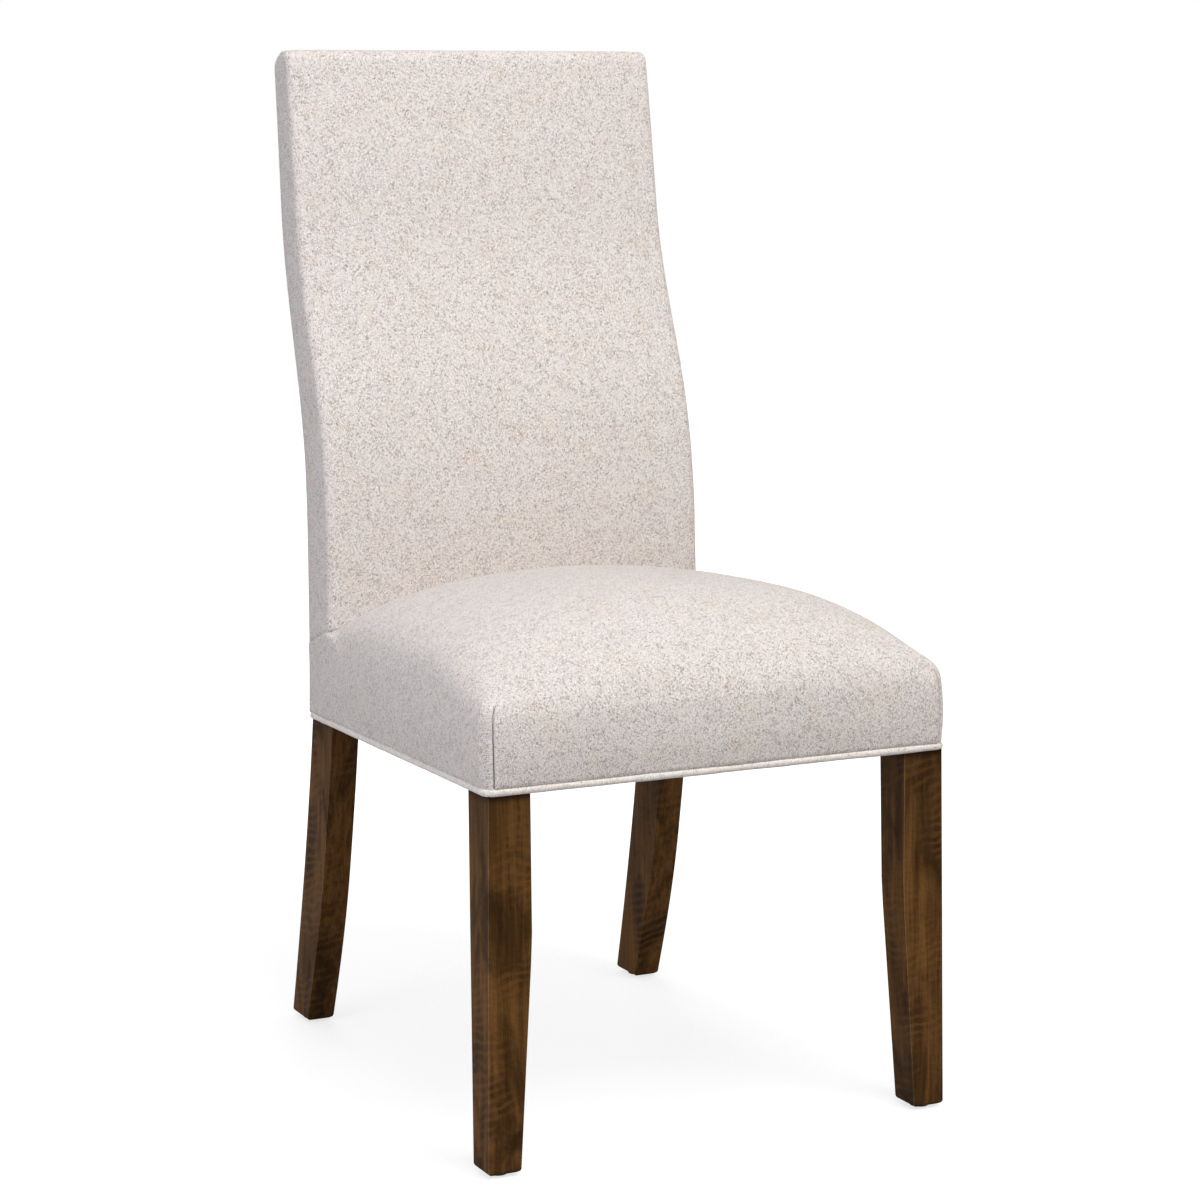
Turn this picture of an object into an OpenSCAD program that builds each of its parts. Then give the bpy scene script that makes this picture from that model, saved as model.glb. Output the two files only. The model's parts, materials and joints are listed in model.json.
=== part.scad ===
// Fully upholstered high-back side chair on a stained maple frame.
// Millimetres. +Z is up, the front of the chair faces -Y and +X is to the right as seen from the front.
// The origin is on the floor, below the middle of the chair.

/* [Overall] */
// Height of the top of the back above the floor
chair_h = 1044; // [980:1:1120]
// Width of the seat frame across the front legs
front_w = 484; // [440:1:540]
// Width across the outer faces of the rear feet
rear_w = 426; // [400:1:460]
// Depth from the front face of the front legs to the rear of the posts at seat height
frame_d = 527.5; // [490:0.5:570]

/* [Seat] */
// Height of the lower edge of the seat at the front
seat_base_h = 361; // [320:1:390]
// Slope of the seat down to the rear, in degrees
seat_tilt = 1.7; // [0:0.1:3]
// Height of the straight side of the seat, from its lower edge
band_h = 67; // [62:1:85]
// Rise of the crown above the side of the seat
crown_h = 98; // [50:1:110]
// How far the side of the seat swells outward at half its height
band_bulge = 3; // [0:0.5:5]
// Radius of the front corners in plan
front_corner_r = 14; // [10:1:24]
// Diameter of the welt round the lower edge
welt_d = 6; // [5:0.5:8]

/* [Back] */
// Width of the back just above the seat
back_low_w = 430; // [424:1:440]
// Width of the back at its top
back_top_w = 417.4; // [412:0.2:430]
// Thickness of the back just above the seat
back_low_t = 57; // [54:1:66]
// Thickness of the back at its top
back_top_t = 36.5; // [34:0.5:46]
// How far the back sweeps rearward above the lumbar curve
lean_step = 37; // [20:1:50]
// Angle of the back at its top, in degrees
top_lean = 5.7; // [3:0.1:8]
// Height where the back starts to sweep rearward
lean_low_h = 604; // [560:1:640]
// Height where the sweep ends
lean_high_h = 874; // [820:1:910]
// Radius of the top edge of the back
back_edge_r = 12; // [8:1:16]
// How far the front of the back swells forward at its middle
back_crown = 3; // [0:0.5:6]

/* [Legs] */
// Width of the front legs under the seat
front_leg_w = 42; // [38:1:50]
// Depth of the front legs under the seat
front_leg_d = 46; // [40:1:52]
// Width of the front feet
front_foot_w = 33; // [26:1:36]
// Depth of the front feet
front_foot_d = 36; // [30:1:40]
// How far the front legs are set in from the sides of the seat frame
leg_set_in = 2; // [0.5:0.5:3]
// How far each front foot stands out beyond the top of its leg
leg_splay = 4.5; // [0:0.5:6]
// Height where the front legs start to taper
taper_h = 229; // [150:1:280]
// Width of the rear legs and posts
rear_leg_w = 30; // [28:1:36]
// Depth of the rear legs under the seat
rear_leg_d = 58; // [54:1:64]
// Depth of the rear feet
rear_foot_d = 44.5; // [38:0.5:50]
// How far the rear feet sweep back behind the posts
foot_kick = 83; // [50:1:100]
// How far the rear posts lean inward over their whole height
post_lean = 8.5; // [6:0.5:11]
// Radius of the lower edges of the feet
foot_r = 5; // [2:0.5:8]
// Thickness of the glides under the feet
glide_t = 1.5; // [1.5:0.5:4]

/* [Frame] */
// Height of the seat rails
rail_h = 52; // [44:1:54]
// Thickness of the seat rails
rail_t = 22; // [18:1:24]
// Thickness of the rails of the back
back_rail_t = 16; // [14:1:18]
// Height of the rails of the back
back_rail_h = 54; // [44:1:60]
// Depth that the front legs are cut back where the seat cover passes over them
rebate = 4; // [3.5:0.5:5]
// Depth that the rear posts are cut back where the back cover passes over them
rear_rebate = 6.5; // [6:0.5:8]
// Diameter of the dowels
dowel_d = 8; // [6:1:10]
// Length of the dowels
dowel_l = 36; // [28:1:40]
// Length of the sides of the corner blocks
block_l = 62; // [54:1:70]

/* [Padding] */
// Thickness of the cover cloth
cloth_t = 1.2; // [0.8:0.1:1.6]
// Thickness of the padding at the front of the back
front_pad = 11; // [9:1:13]
// Thickness of the batting under the seat cover
batting_t = 3; // [2.5:0.1:3.2]
// Width of the webbing straps
strap_w = 50; // [40:1:60]
// Thickness of the webbing straps
strap_t = 1.2; // [1:0.1:1.4]

/* [Hidden] */
$fn = 48;

// Gap left between pieces that lie against each other
gap = 0.3;
// Reach of the tools that cut a piece to an outline
reach = 2000;

// Heights of the seat frame above the plane of the seat's lower edge
rail_z = 4;
rail_top = rail_z + rail_h;
deck_z = rail_top + 2 * strap_t + 3 * gap;

// Overhang of the cover outside the faces of the frame
cover_out = rebate + 1.5;
front_half = front_w / 2 - rebate;
cover_front_half = front_half + cover_out;
cover_front_y = rebate - cover_out - 1.5;
panel_t = cloth_t + gap;

// Outline of the rear legs and posts, seen from the side
kick_h = seat_base_h + 43;
kick_power = 1.34;
// Height over which the lean of the back comes in
lean_round = 40;
lean_start = lean_low_h - lean_round;
// Height over which the rear feet widen to their full depth
foot_flare_h = 180;
function smooth(t) = let (c = min(1, max(0, t))) c * c * (3 - 2 * c);
function ramp(t) = (t + sqrt(t * t + lean_round * lean_round)) / 2;
function kick(z) = z < kick_h ? foot_kick * pow(1 - z / kick_h, kick_power) : 0;
function lean(z) =
    tan(top_lean) * ramp(z - lean_start)
    + lean_step * smooth((z - lean_low_h) / (lean_high_h - lean_low_h));
function leg_rear(z) = frame_d + kick(z) + lean(z);
function post_rear(z) = leg_rear(z) - rear_rebate;
function leg_depth(z) = rear_foot_d + (rear_leg_d - rear_foot_d) * sin(90 * min(1, z / foot_flare_h));
function back_rear(z) = post_rear(z) + cover_out;
function back_t(z) =
    back_low_t + (back_top_t - back_low_t) * max(0, z - lean_start) / (chair_h - lean_start);
function back_front(z) = back_rear(z) - back_t(z);
function post_front(z) = back_front(z) + cloth_t + front_pad;
shoulder_h = seat_base_h + rail_top;
function leg_front(z) =
    let (t = smooth((z - shoulder_h + 20) / 35))
    (1 - t) * (leg_rear(z) - leg_depth(z)) + t * post_front(z);

// Places along the seat, in the tilted plane of its lower edge
seat_rear_y = back_front(shoulder_h + 60) - back_crown - 2 * gap - (band_h + crown_h) * sin(seat_tilt);
cover_rear_y = back_rear(seat_base_h);
post_top = chair_h - back_edge_r - 4;
function post_outer(z) = rear_w / 2 - post_lean * z / post_top;
cover_rear_half = post_outer(seat_base_h) + cover_out;
function seat_half(y) =
    cover_front_half
    + (cover_rear_half - cover_front_half) * (y - cover_front_y) / (cover_rear_y - cover_front_y);
function back_half(z) =
    (back_low_w + (back_top_w - back_low_w) * (z - shoulder_h) / (chair_h - shoulder_h)) / 2;

// Height where the seat's side cover meets the side of the back
tab_h = seat_base_h + band_h + 9;

// Outer and inner faces of the front legs, under the seat and towards the floor
function leg_outer(z) = front_w / 2 - leg_set_in + leg_splay * max(0, 1 - z / seat_base_h);
leg_inner = front_w / 2 - leg_set_in - front_leg_w;
leg_mid = leg_inner + front_leg_w / 2;

// Side rails run from the front legs to the posts
rail_front_y = front_leg_d;
rail_rear_y = leg_front(seat_base_h + rail_h / 2);
rail_rear_half = post_outer(seat_base_h) - rebate / 2;
side_angle = atan((front_half - rail_rear_half) / (rail_rear_y - rail_front_y));
rear_rail_y = rail_rear_y + 12;

dowel_r = dowel_d / 2;
dowel_gap = 0.1;

// Points of a curve between two heights
function heights(z0, z1, n) = [for (i = [0:n]) z0 + (z1 - z0) * i / n];

module seat_frame() {
    translate([0, 0, seat_base_h])
        rotate([-seat_tilt, 0, 0])
            children();
}

// Extrudes an outline of [x, z] points right through the chair from front to back
module from_front() {
    translate([0, reach / 2, 0])
        rotate([90, 0, 0])
            linear_extrude(reach)
                children();
}

// Extrudes an outline of [y, z] points right through the chair from side to side
module from_side() {
    translate([-reach / 2, 0, 0])
        rotate([90, 0, 90])
            linear_extrude(reach)
                children();
}

// Outline of a foot's lower edge, rounded at both ends
function foot_arc(x, z, r, from, to) =
    [for (i = [0:4]) let (a = from + (to - from) * i / 4) [x + r * cos(a), z + r * sin(a)]];

// Everything above the plane that the seat's welt lies on
module above_edge() {
    seat_frame()
        translate([-reach / 2, -reach / 2, -gap])
            cube(reach);
}

module mirrored(side) {
    if (side < 0)
        mirror([1, 0, 0])
            children();
    else
        children();
}

// Front legs

module front_leg_face() {
    foot = leg_outer(0) - front_foot_w;
    top = seat_base_h + rail_top - 2;
    low = glide_t + foot_r;
    polygon(concat(
        foot_arc(foot + foot_r, low, foot_r, 180, 270),
        foot_arc(leg_outer(low) - foot_r, low, foot_r, 270, 360),
        [[leg_outer(seat_base_h), seat_base_h], [leg_outer(top), top], [leg_inner, top]],
        [for (i = [0:7])
            let (t = i / 8)
            [leg_inner + (foot - leg_inner) * pow(t, 1.15), taper_h + (low - taper_h) * t]]
    ));
}

module front_leg_side() {
    top = seat_base_h + rail_top;
    polygon(concat(
        foot_arc(foot_r, glide_t + foot_r, foot_r, 180, 270),
        foot_arc(front_foot_d - foot_r, glide_t + foot_r, foot_r, 270, 360),
        [[front_leg_d, seat_base_h], [front_leg_d, top], [0, top]]
    ));
}

module front_leg_right() {
    color([0.30, 0.20, 0.12])
        difference() {
            intersection() {
                from_front() front_leg_face();
                from_side() front_leg_side();
            }
            intersection() {
                above_edge();
                union() {
                    from_front()
                        translate([front_half, 0])
                            square(reach);
                    from_side()
                        translate([rebate - reach, 0])
                            square(reach);
                }
            }
            seat_dowels(dowel_r + dowel_gap);
            glide_nails(dowel_gap);
        }
}

// Rear legs and posts, one sawn piece each

module rear_post_face() {
    polygon([
        [post_outer(0), 0], [post_outer(post_top), post_top],
        [post_outer(post_top) - rear_leg_w, post_top], [post_outer(0) - rear_leg_w, 0]
    ]);
}

module foot_face() {
    outer = post_outer(0);
    polygon(concat(
        foot_arc(outer - rear_leg_w + foot_r, glide_t + foot_r, foot_r, 180, 270),
        foot_arc(outer - foot_r, glide_t + foot_r, foot_r, 270, 360),
        [[outer, post_top], [outer - rear_leg_w - post_lean, post_top],
         [outer - rear_leg_w - post_lean, foot_r * 3]]
    ));
}

module rear_post_side() {
    low = glide_t + foot_r;
    polygon(concat(
        foot_arc(leg_front(low) + foot_r, low, foot_r, 180, 270),
        foot_arc(leg_rear(low) - foot_r, low, foot_r, 270, 360),
        [for (z = heights(4 * foot_r, seat_base_h, 16)) [leg_rear(z), z]],
        [for (z = heights(seat_base_h + 12, post_top, 30)) [leg_rear(z), z]],
        [for (z = heights(post_top, shoulder_h + 15, 26)) [post_front(z), z]],
        [for (z = heights(shoulder_h + 10, 4 * foot_r, 20)) [leg_front(z), z]]
    ));
}

// Everything behind the posts where the back's cover passes over them
module behind_posts() {
    low = seat_base_h - rail_h;
    polygon(concat(
        [for (z = heights(low, chair_h, 44)) [post_rear(z), z]],
        [[reach, chair_h], [reach, low]]
    ));
}

module rear_post_right() {
    color([0.30, 0.20, 0.12])
        difference() {
            intersection() {
                from_front() rear_post_face();
                from_front() foot_face();
                from_side() rear_post_side();
            }
            intersection() {
                above_edge();
                from_side() behind_posts();
            }
            seat_dowels(dowel_r + dowel_gap);
            back_dowels(dowel_r + dowel_gap);
            glide_nails(dowel_gap);
        }
}

// Seat rails

module front_seat_rail() {
    half = leg_inner;
    color([0.78, 0.66, 0.48])
        difference() {
            seat_frame()
                translate([-half, rebate, rail_z])
                    cube([2 * half, rail_t, rail_h]);
            seat_dowels(dowel_r + dowel_gap);
            block_screws(dowel_gap);
            staples(gap / 3);
        }
}

module rear_seat_rail() {
    color([0.78, 0.66, 0.48])
        difference() {
            intersection() {
                seat_frame()
                    translate([-rear_w / 2, rear_rail_y, rail_z])
                        cube([rear_w, rail_t, rail_h]);
                between_posts();
            }
            seat_dowels(dowel_r + dowel_gap);
            block_screws(dowel_gap);
            staples(gap / 3);
        }
}

// The space between the inner faces of the posts
module between_posts() {
    low = post_outer(0) - rear_leg_w;
    high = post_outer(post_top) - rear_leg_w;
    from_front()
        polygon([[-low, 0], [low, 0], [high, post_top], [-high, post_top]]);
}

module side_rail_bar() {
    seat_frame()
        translate([front_half, rail_front_y, rail_z])
            rotate([0, 0, side_angle])
                translate([-rail_t, -30, 0])
                    cube([rail_t, rail_rear_y - rail_front_y + 90, rail_h]);
}

module side_seat_rail_right() {
    color([0.78, 0.66, 0.48])
        difference() {
            side_rail_bar();
            from_side()
                translate([rail_front_y - reach, 0])
                    square([reach, reach]);
            from_side()
                rear_side_cut();
            seat_dowels(dowel_r + dowel_gap);
            block_screws(dowel_gap);
            staples(gap / 3);
        }
}

// Everything behind the front faces of the rear posts at the height of the rails
module rear_side_cut() {
    polygon(concat(
        [for (z = heights(shoulder_h + 10, 4 * foot_r, 20)) [leg_front(z), z]],
        [[reach, 4 * foot_r], [reach, shoulder_h + 10]]
    ));
}

// Rails of the back, sawn to its curve

top_rail_z = post_top - back_rail_h;
middle_rail_z = (lean_low_h + lean_high_h) / 2 - back_rail_h / 2;
bottom_rail_z = tab_h + 12;
back_rail_zs = [bottom_rail_z, middle_rail_z, top_rail_z];

module back_rail(z0) {
    z1 = z0 + back_rail_h;
    color([0.78, 0.66, 0.48])
        difference() {
            intersection() {
                from_side()
                    polygon(concat(
                        [for (z = heights(z0, z1, 6)) [post_front(z), z]],
                        [for (z = heights(z1, z0, 6)) [post_front(z) + back_rail_t, z]]
                    ));
                between_posts();
            }
            back_dowels(dowel_r + dowel_gap);
        }
}

// Corner blocks

block_h = rail_h - 12;
block_t = 24;

module corner_cut(front) {
    y = front ? rebate + rail_t : rear_rail_y;
    dir = front ? 1 : -1;
    inner = front ? front_half - rail_t : rail_rear_half - rail_t;
    seat_frame()
        translate([inner, y, rail_z + 6])
            linear_extrude(block_h)
                polygon([
                    [-block_l, -dir * 10], [-block_l + block_t, -dir * 10], [20, dir * (block_l - block_t - 20)],
                    [20, dir * (block_l - 20)], [8, dir * (block_l - 8)], [-block_l, 0]
                ]);
}

module corner_block(front) {
    color([0.80, 0.69, 0.52])
        difference() {
            intersection() {
                corner_cut(front);
                seat_frame()
                    block_room();
            }
            block_screws(dowel_gap);
        }
}

// The space inside the four seat rails
module block_room() {
    inner = front_half - rail_t;
    y0 = rebate + rail_t;
    y1 = rear_rail_y;
    function x_at(y) = inner + (rail_front_y - y) * tan(side_angle);
    linear_extrude(rail_top)
        difference() {
            polygon([[-x_at(y0), y0], [x_at(y0), y0], [x_at(y1), y1], [-x_at(y1), y1]]);
            for (side = [-1, 1]) {
                translate([side * leg_mid, front_leg_d / 2])
                    square([front_leg_w + 2 * gap, front_leg_d + 2 * gap], center = true);
                translate([side * (post_outer(seat_base_h) - rear_leg_w / 2), y1])
                    square([rear_leg_w + 4 * gap, 2 * (y1 - rail_rear_y) + 4], center = true);
            }
        }
}

screw_l = 38;
screw_r = 2;
screw_head_r = 4;

// One screw along +Y, its head at the origin
module screw(extra) {
    rotate([-90, 0, 0])
        rotate_extrude()
            polygon([
                [0, -extra], [screw_head_r + extra, -extra], [screw_head_r + extra, 1],
                [screw_r + extra, 3.5], [screw_r + extra, screw_l - 5], [0, screw_l + extra]
            ]);
}

// Two screws through each corner block, one into each rail
module block_screws(extra) {
    z = rail_z + 6 + block_h / 2;
    seat_frame()
        for (side = [-1, 1])
            mirrored(side) {
                translate([front_half - rail_t - block_l + 12, rebate + rail_t + 26, z])
                    rotate([0, 0, 180])
                        screw(extra);
                translate([front_half - rail_t - 28, rail_front_y + 20, z])
                    rotate([0, 0, side_angle - 90])
                        screw(extra);
                translate([rail_rear_half - rail_t - block_l + 12, rear_rail_y - 26, z])
                    screw(extra);
                translate([rail_rear_half - rail_t - 28, rear_rail_y - 44, z])
                    rotate([0, 0, side_angle - 90])
                        screw(extra);
            }
}

// Dowels, two in each joint

// Distance of a dowel from the edge of its rail, and its shift beside its neighbour
dowel_in = 12;
dowel_shift = 2;
dowel_pitch = rail_h - 2 * dowel_in;

module dowel(r) {
    rotate([0, 90, 0])
        cylinder(h = dowel_l + (r > dowel_r ? 1 : 0), r = r, center = true);
}

module seat_dowels(r) {
    seat_frame()
        for (z = [rail_z + dowel_in, rail_z + dowel_in + dowel_pitch])
            for (side = [-1, 1])
                mirrored(side) {
                    translate([leg_inner, rebate + rail_t / 2 + (z > rail_top / 2 ? dowel_shift : -dowel_shift), z])
                        dowel(r);
                    translate([post_outer(seat_base_h) - rear_leg_w, rear_rail_y + rail_t / 2, z])
                        dowel(r);
                    translate([front_half - rail_t / 2, rail_front_y, z])
                        rotate([0, 0, 90 + side_angle])
                            dowel(r);
                    translate([rail_rear_half - rail_t / 2 + dowel_shift / 2, rail_rear_y, z])
                        rotate([0, 0, 90 + side_angle])
                            dowel(r);
                }
}

module back_dowels(r) {
    for (z0 = back_rail_zs)
        for (z = [z0 + dowel_in, z0 + back_rail_h - dowel_in])
            for (side = [-1, 1])
                translate([side * (post_outer(z) - rear_leg_w), post_front(z) + back_rail_t / 2, z])
                    dowel(r);
}

// Elastic webbing under the foam

strap_pitch = 82;
strap_rows = 5;
strap_cols = 4;
strap_y0 = rebate + rail_t + 52;
function strap_y(j) = strap_y0 + strap_pitch * j;
function strap_x(i) = strap_pitch * (i - (strap_cols - 1) / 2);

module seat_straps_across() {
    color([0.15, 0.15, 0.16])
        seat_frame()
            for (j = [0:strap_rows - 1]) {
                half = front_half - 3 + (rail_front_y - strap_y(j) - strap_w / 2) * tan(side_angle);
                translate([-half, strap_y(j) - strap_w / 2, rail_top])
                    cube([2 * half, strap_w, strap_t]);
            }
}

// Level of a lengthwise strap where it passes over or under a strap that runs across
function weave(i, j) = ((i + j) % 2 == 0 ? 1 : -1) * (strap_t + gap / 3);
function strap_path(i) = concat(
    [[rebate + 4, 0], [rebate + rail_t + 3, 0]],
    [for (j = [0:strap_rows - 1]) for (s = [-1, 1]) [strap_y(j) + s * (strap_w / 2 + 3), weave(i, j)]],
    [[rear_rail_y - 3, 0], [rear_rail_y + rail_t - 4, 0]]
);

module seat_straps_lengthwise() {
    color([0.18, 0.18, 0.19])
        seat_frame()
            for (i = [0:strap_cols - 1])
                translate([strap_x(i) - strap_w / 2, 0, rail_top])
                    rotate([90, 0, 90])
                        linear_extrude(strap_w)
                            polygon(concat(
                                strap_path(i),
                                [for (k = [len(strap_path(i)) - 1:-1:0]) strap_path(i)[k] + [0, strap_t]]
                            ));
}

module back_straps() {
    gap_low = bottom_rail_z + back_rail_h;
    gap_high = middle_rail_z + back_rail_h;
    color([0.15, 0.15, 0.16])
        for (z0 = [(gap_low + middle_rail_z - strap_w) / 2, (gap_high + top_rail_z - strap_w) / 2])
            intersection() {
                from_side()
                    polygon(concat(
                        [for (z = heights(z0, z0 + strap_w, 6)) [post_front(z) - strap_t, z]],
                        [for (z = heights(z0 + strap_w, z0, 6)) [post_front(z), z]]
                    ));
                translate([-post_outer(post_top) + 3, 0, 0])
                    cube([2 * post_outer(post_top) - 6, reach, reach]);
            }
}

// Soft forms

// Closes the space between two grids of points with the same rows and columns
module between(outer, inner) {
    rows = len(outer);
    cols = len(outer[0]);
    n = rows * cols;
    function at(r, c) = r * cols + c;
    points = concat([for (r = outer) each r], [for (r = inner) each r]);
    sheet = [for (r = [0:rows - 2]) for (c = [0:cols - 2])
        [[at(r, c), at(r, c + 1), at(r + 1, c + 1)], [at(r, c), at(r + 1, c + 1), at(r + 1, c)]]];
    front = [for (q = sheet) each q];
    rim = concat(
        [for (c = [0:cols - 2]) at(0, c)], [for (r = [0:rows - 2]) at(r, cols - 1)],
        [for (c = [cols - 1:-1:1]) at(rows - 1, c)], [for (r = [rows - 1:-1:1]) at(r, 0)]
    );
    m = len(rim);
    edge = [for (k = [0:m - 1]) let (a = rim[k], b = rim[(k + 1) % m])
        [[b, a, a + n], [b, a + n, b + n]]];
    polyhedron(
        points,
        concat(
            [for (f = front) [f[0], f[1], f[2]]],
            [for (f = front) [f[2] + n, f[1] + n, f[0] + n]],
            [for (e = edge) each e]
        )
    );
}

// Closes the space between two stacks of rings that both end in a crest point
module between_rings(outer, inner, crest_out, crest_in) {
    rows = len(outer);
    cols = len(outer[0]);
    n = rows * cols;
    function at(r, c) = r * cols + c % cols;
    points = concat([for (r = outer) each r], [for (r = inner) each r], [crest_out, crest_in]);
    wall = [for (r = [0:rows - 2]) for (c = [0:cols - 1]) for (t = [0, 1])
        t == 0 ? [at(r, c), at(r + 1, c + 1), at(r, c + 1)] : [at(r, c), at(r + 1, c), at(r + 1, c + 1)]];
    cap = [for (c = [0:cols - 1]) [at(rows - 1, c), 2 * n, at(rows - 1, c + 1)]];
    inner_cap = [for (c = [0:cols - 1]) [at(rows - 1, c + 1) + n, 2 * n + 1, at(rows - 1, c) + n]];
    rim = [for (c = [0:cols - 1]) for (t = [0, 1])
        t == 0 ? [at(0, c), at(0, c + 1), at(0, c + 1) + n] : [at(0, c), at(0, c + 1) + n, at(0, c) + n]];
    polyhedron(
        points,
        concat(wall, [for (f = wall) [f[2] + n, f[1] + n, f[0] + n]], cap, inner_cap, rim)
    );
}

// Plan of the seat, anticlockwise from the middle of the front, drawn in by a distance
function corner(cx, cy, r, a0) = [for (k = [0:3]) let (a = a0 + 30 * k) [cx + r * cos(a), cy + r * sin(a)]];
function side_run(a, b, n) = [for (k = [1:n - 1]) a + (b - a) * k / n];
function seat_plan(d) =
    let (
        y0 = cover_front_y + d,
        y1 = seat_rear_y - d,
        r0 = max(2, front_corner_r - d),
        r1 = max(2, 8 - d),
        f = seat_half(y0) - d,
        b = seat_half(y1) - d,
        fr = corner(f - r0, y0 + r0, r0, 270),
        rr = corner(b - r1, y1 - r1, r1, 0),
        right = concat(fr, side_run(fr[3], rr[0], 8), rr, side_run(rr[3], [0, y1], 5), [[0, y1]]),
        n = len(right)
    )
    concat(
        [[0, y0]], side_run([0, y0], fr[0], 5), right,
        [for (k = [n - 2:-1:0]) [-right[k][0], right[k][1]]],
        [for (p = side_run([-fr[0][0], fr[0][1]], [0, y0], 5)) p]
    );

// Height of the crown over the plane of the seat's lower edge
crown_mid = 0.54;
crown_end = 1.104;
function crown(x, y, d) =
    let (
        u = min(1, abs(x) / (seat_half(y) - d)),
        v = min(1, max(0, (y - cover_front_y - d) / (seat_rear_y - cover_front_y - d))),
        s = v < crown_mid ? (crown_mid - v) / crown_mid : (v - crown_mid) / (crown_end - crown_mid),
        across = pow(max(0, 1 - pow(u, 1.75)), 0.28),
        along = pow(max(0, 1 - pow(min(1, s), 3.6)), 0.79)
    )
    band_h - d + crown_h * across * along;

// The lower edge of the cover runs above the rails where it is tucked in front of the back
function tucked(p, z0, d) = p[1] > seat_rear_y - d - 7 ? deck_z + 2 : z0;

shrink_steps = [0.992, 0.975, 0.945, 0.9, 0.83, 0.72, 0.56, 0.34];
crest_y = cover_front_y + crown_mid * (seat_rear_y - cover_front_y);

function seat_rings(d, z0) =
    let (plan = seat_plan(d), mid = [0, crest_y])
    concat(
        [for (k = [0:3]) [for (p = plan)
            let (
                low = tucked(p, z0, d),
                top = crown(p[0], p[1], d),
                t = k / 3,
                swell = p[1] > seat_rear_y - d - 7 ? 0 : band_bulge * sin(180 * t * 0.8),
                out = (p - mid) / norm(p - mid)
            )
            [p[0] + out[0] * swell, p[1] + out[1] * swell, low + (top - low) * t]]],
        [for (s = shrink_steps) [for (p = plan)
            let (q = mid + (p - mid) * s)
            [q[0], q[1], crown(q[0], q[1], d)]]]
    );

module seat_shell(d0, d1, z0) {
    seat_frame()
        between_rings(
            seat_rings(d0, z0), seat_rings(d1, z0),
            [0, crest_y, crown(0, crest_y, d0)], [0, crest_y, crown(0, crest_y, d1)]
        );
}

foam_in = cloth_t + batting_t + 2 * gap;

module seat_foam() {
    rings = seat_rings(foam_in, deck_z);
    rows = len(rings);
    cols = len(rings[0]);
    flat_rings = [for (r = [0:rows - 1]) [for (p = rings[r]) [p[0], p[1], r == 0 ? deck_z : max(p[2], deck_z + 1)]]];
    body = [for (r = [3:rows - 1]) flat_rings[r]];
    base = [for (p = rings[0]) [p[0], p[1], deck_z]];
    all = concat([base], body);
    m = len(all);
    function at(r, c) = r * cols + c % cols;
    top = m * cols;
    color([0.93, 0.88, 0.66])
        seat_frame()
            polyhedron(
                concat([for (r = all) each r], [[0, crest_y, crown(0, crest_y, foam_in)], [0, crest_y, deck_z]]),
                concat(
                    [for (r = [0:m - 2]) for (c = [0:cols - 1]) [at(r, c), at(r + 1, c + 1), at(r, c + 1)]],
                    [for (r = [0:m - 2]) for (c = [0:cols - 1]) [at(r, c), at(r + 1, c), at(r + 1, c + 1)]],
                    [for (c = [0:cols - 1]) [at(m - 1, c), top, at(m - 1, c + 1)]],
                    [for (c = [0:cols - 1]) [at(0, c + 1), top + 1, at(0, c)]]
                )
            );
}

module seat_batting() {
    color([0.95, 0.95, 0.93])
        seat_shell(cloth_t + gap, cloth_t + gap + batting_t, rail_z + 4);
}

module seat_cover() {
    color([0.84, 0.81, 0.78])
        seat_shell(0, cloth_t, welt_d + gap);
}

// Cloth that carries the side of the seat on to the rear corner, below the side of the back
module side_tab() {
    z0 = welt_d + gap;
    z1 = tab_h - seat_base_h + frame_d * sin(seat_tilt);
    y0 = seat_rear_y + gap;
    y1 = cover_rear_y - panel_t - 2 * gap;
    rows = [for (z = [z0, z0 + (z1 - z0) / 2, z1])
        [for (k = [0:4]) let (y = y0 + (y1 - y0) * k / 4, s = z > z0 && z < z1 ? band_bulge * (1 - k / 4) / 2 : 0)
            [seat_half(y) + s, y, z]]];
    color([0.84, 0.81, 0.78])
        seat_frame()
            between([for (r = rows) [for (p = r) [p[0] - cloth_t, p[1], p[2]]]], rows);
}

// Welt round the lower edge of the seat

welt_corner_r = 10;
welt_sides = 10;
welt_steps = 6;

// Rings of the tube round one corner, from one straight run to the next
function welt_turn(centre, start, sweep) =
    [for (k = [0:welt_steps]) let (a = start + sweep * k / welt_steps)
        [for (j = [0:welt_sides - 1])
            let (
                phi = 360 * j / welt_sides,
                out = welt_corner_r + welt_d / 2 * cos(phi)
            )
            [centre[0] + out * cos(a), centre[1] + out * sin(a), welt_d / 2 * (1 + sin(phi))]]];

module seat_welt() {
    inset = welt_d / 2 - 1;
    y0 = cover_front_y + inset;
    y1 = cover_rear_y - inset;
    slant = atan((seat_half(y0) - seat_half(y1)) / (y1 - y0));
    r = welt_corner_r;
    // Corner centres lie one radius in from both straight runs
    xf = seat_half(y0) - inset - r * (1 + sin(slant)) / cos(slant);
    xb = seat_half(y1) - inset - r * (1 - sin(slant)) / cos(slant);
    rings = concat(
        welt_turn([xf, y0 + r], 270, 90 + slant),
        welt_turn([xb, y1 - r], slant, 90 - slant),
        welt_turn([-xb, y1 - r], 90, 90 - slant),
        welt_turn([-xf, y0 + r], 180 - slant, 90 + slant)
    );
    n = len(rings);
    function at(i, j) = (i % n) * welt_sides + j % welt_sides;
    color([0.88, 0.85, 0.81])
        seat_frame()
            polyhedron(
                [for (ring = rings) each ring],
                [for (i = [0:n - 1]) for (j = [0:welt_sides - 1]) for (t = [0, 1])
                    t == 0 ? [at(i, j), at(i, j + 1), at(i + 1, j + 1)] : [at(i, j), at(i + 1, j + 1), at(i + 1, j)]]
            );
}

// Cloth that closes the underside

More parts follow.
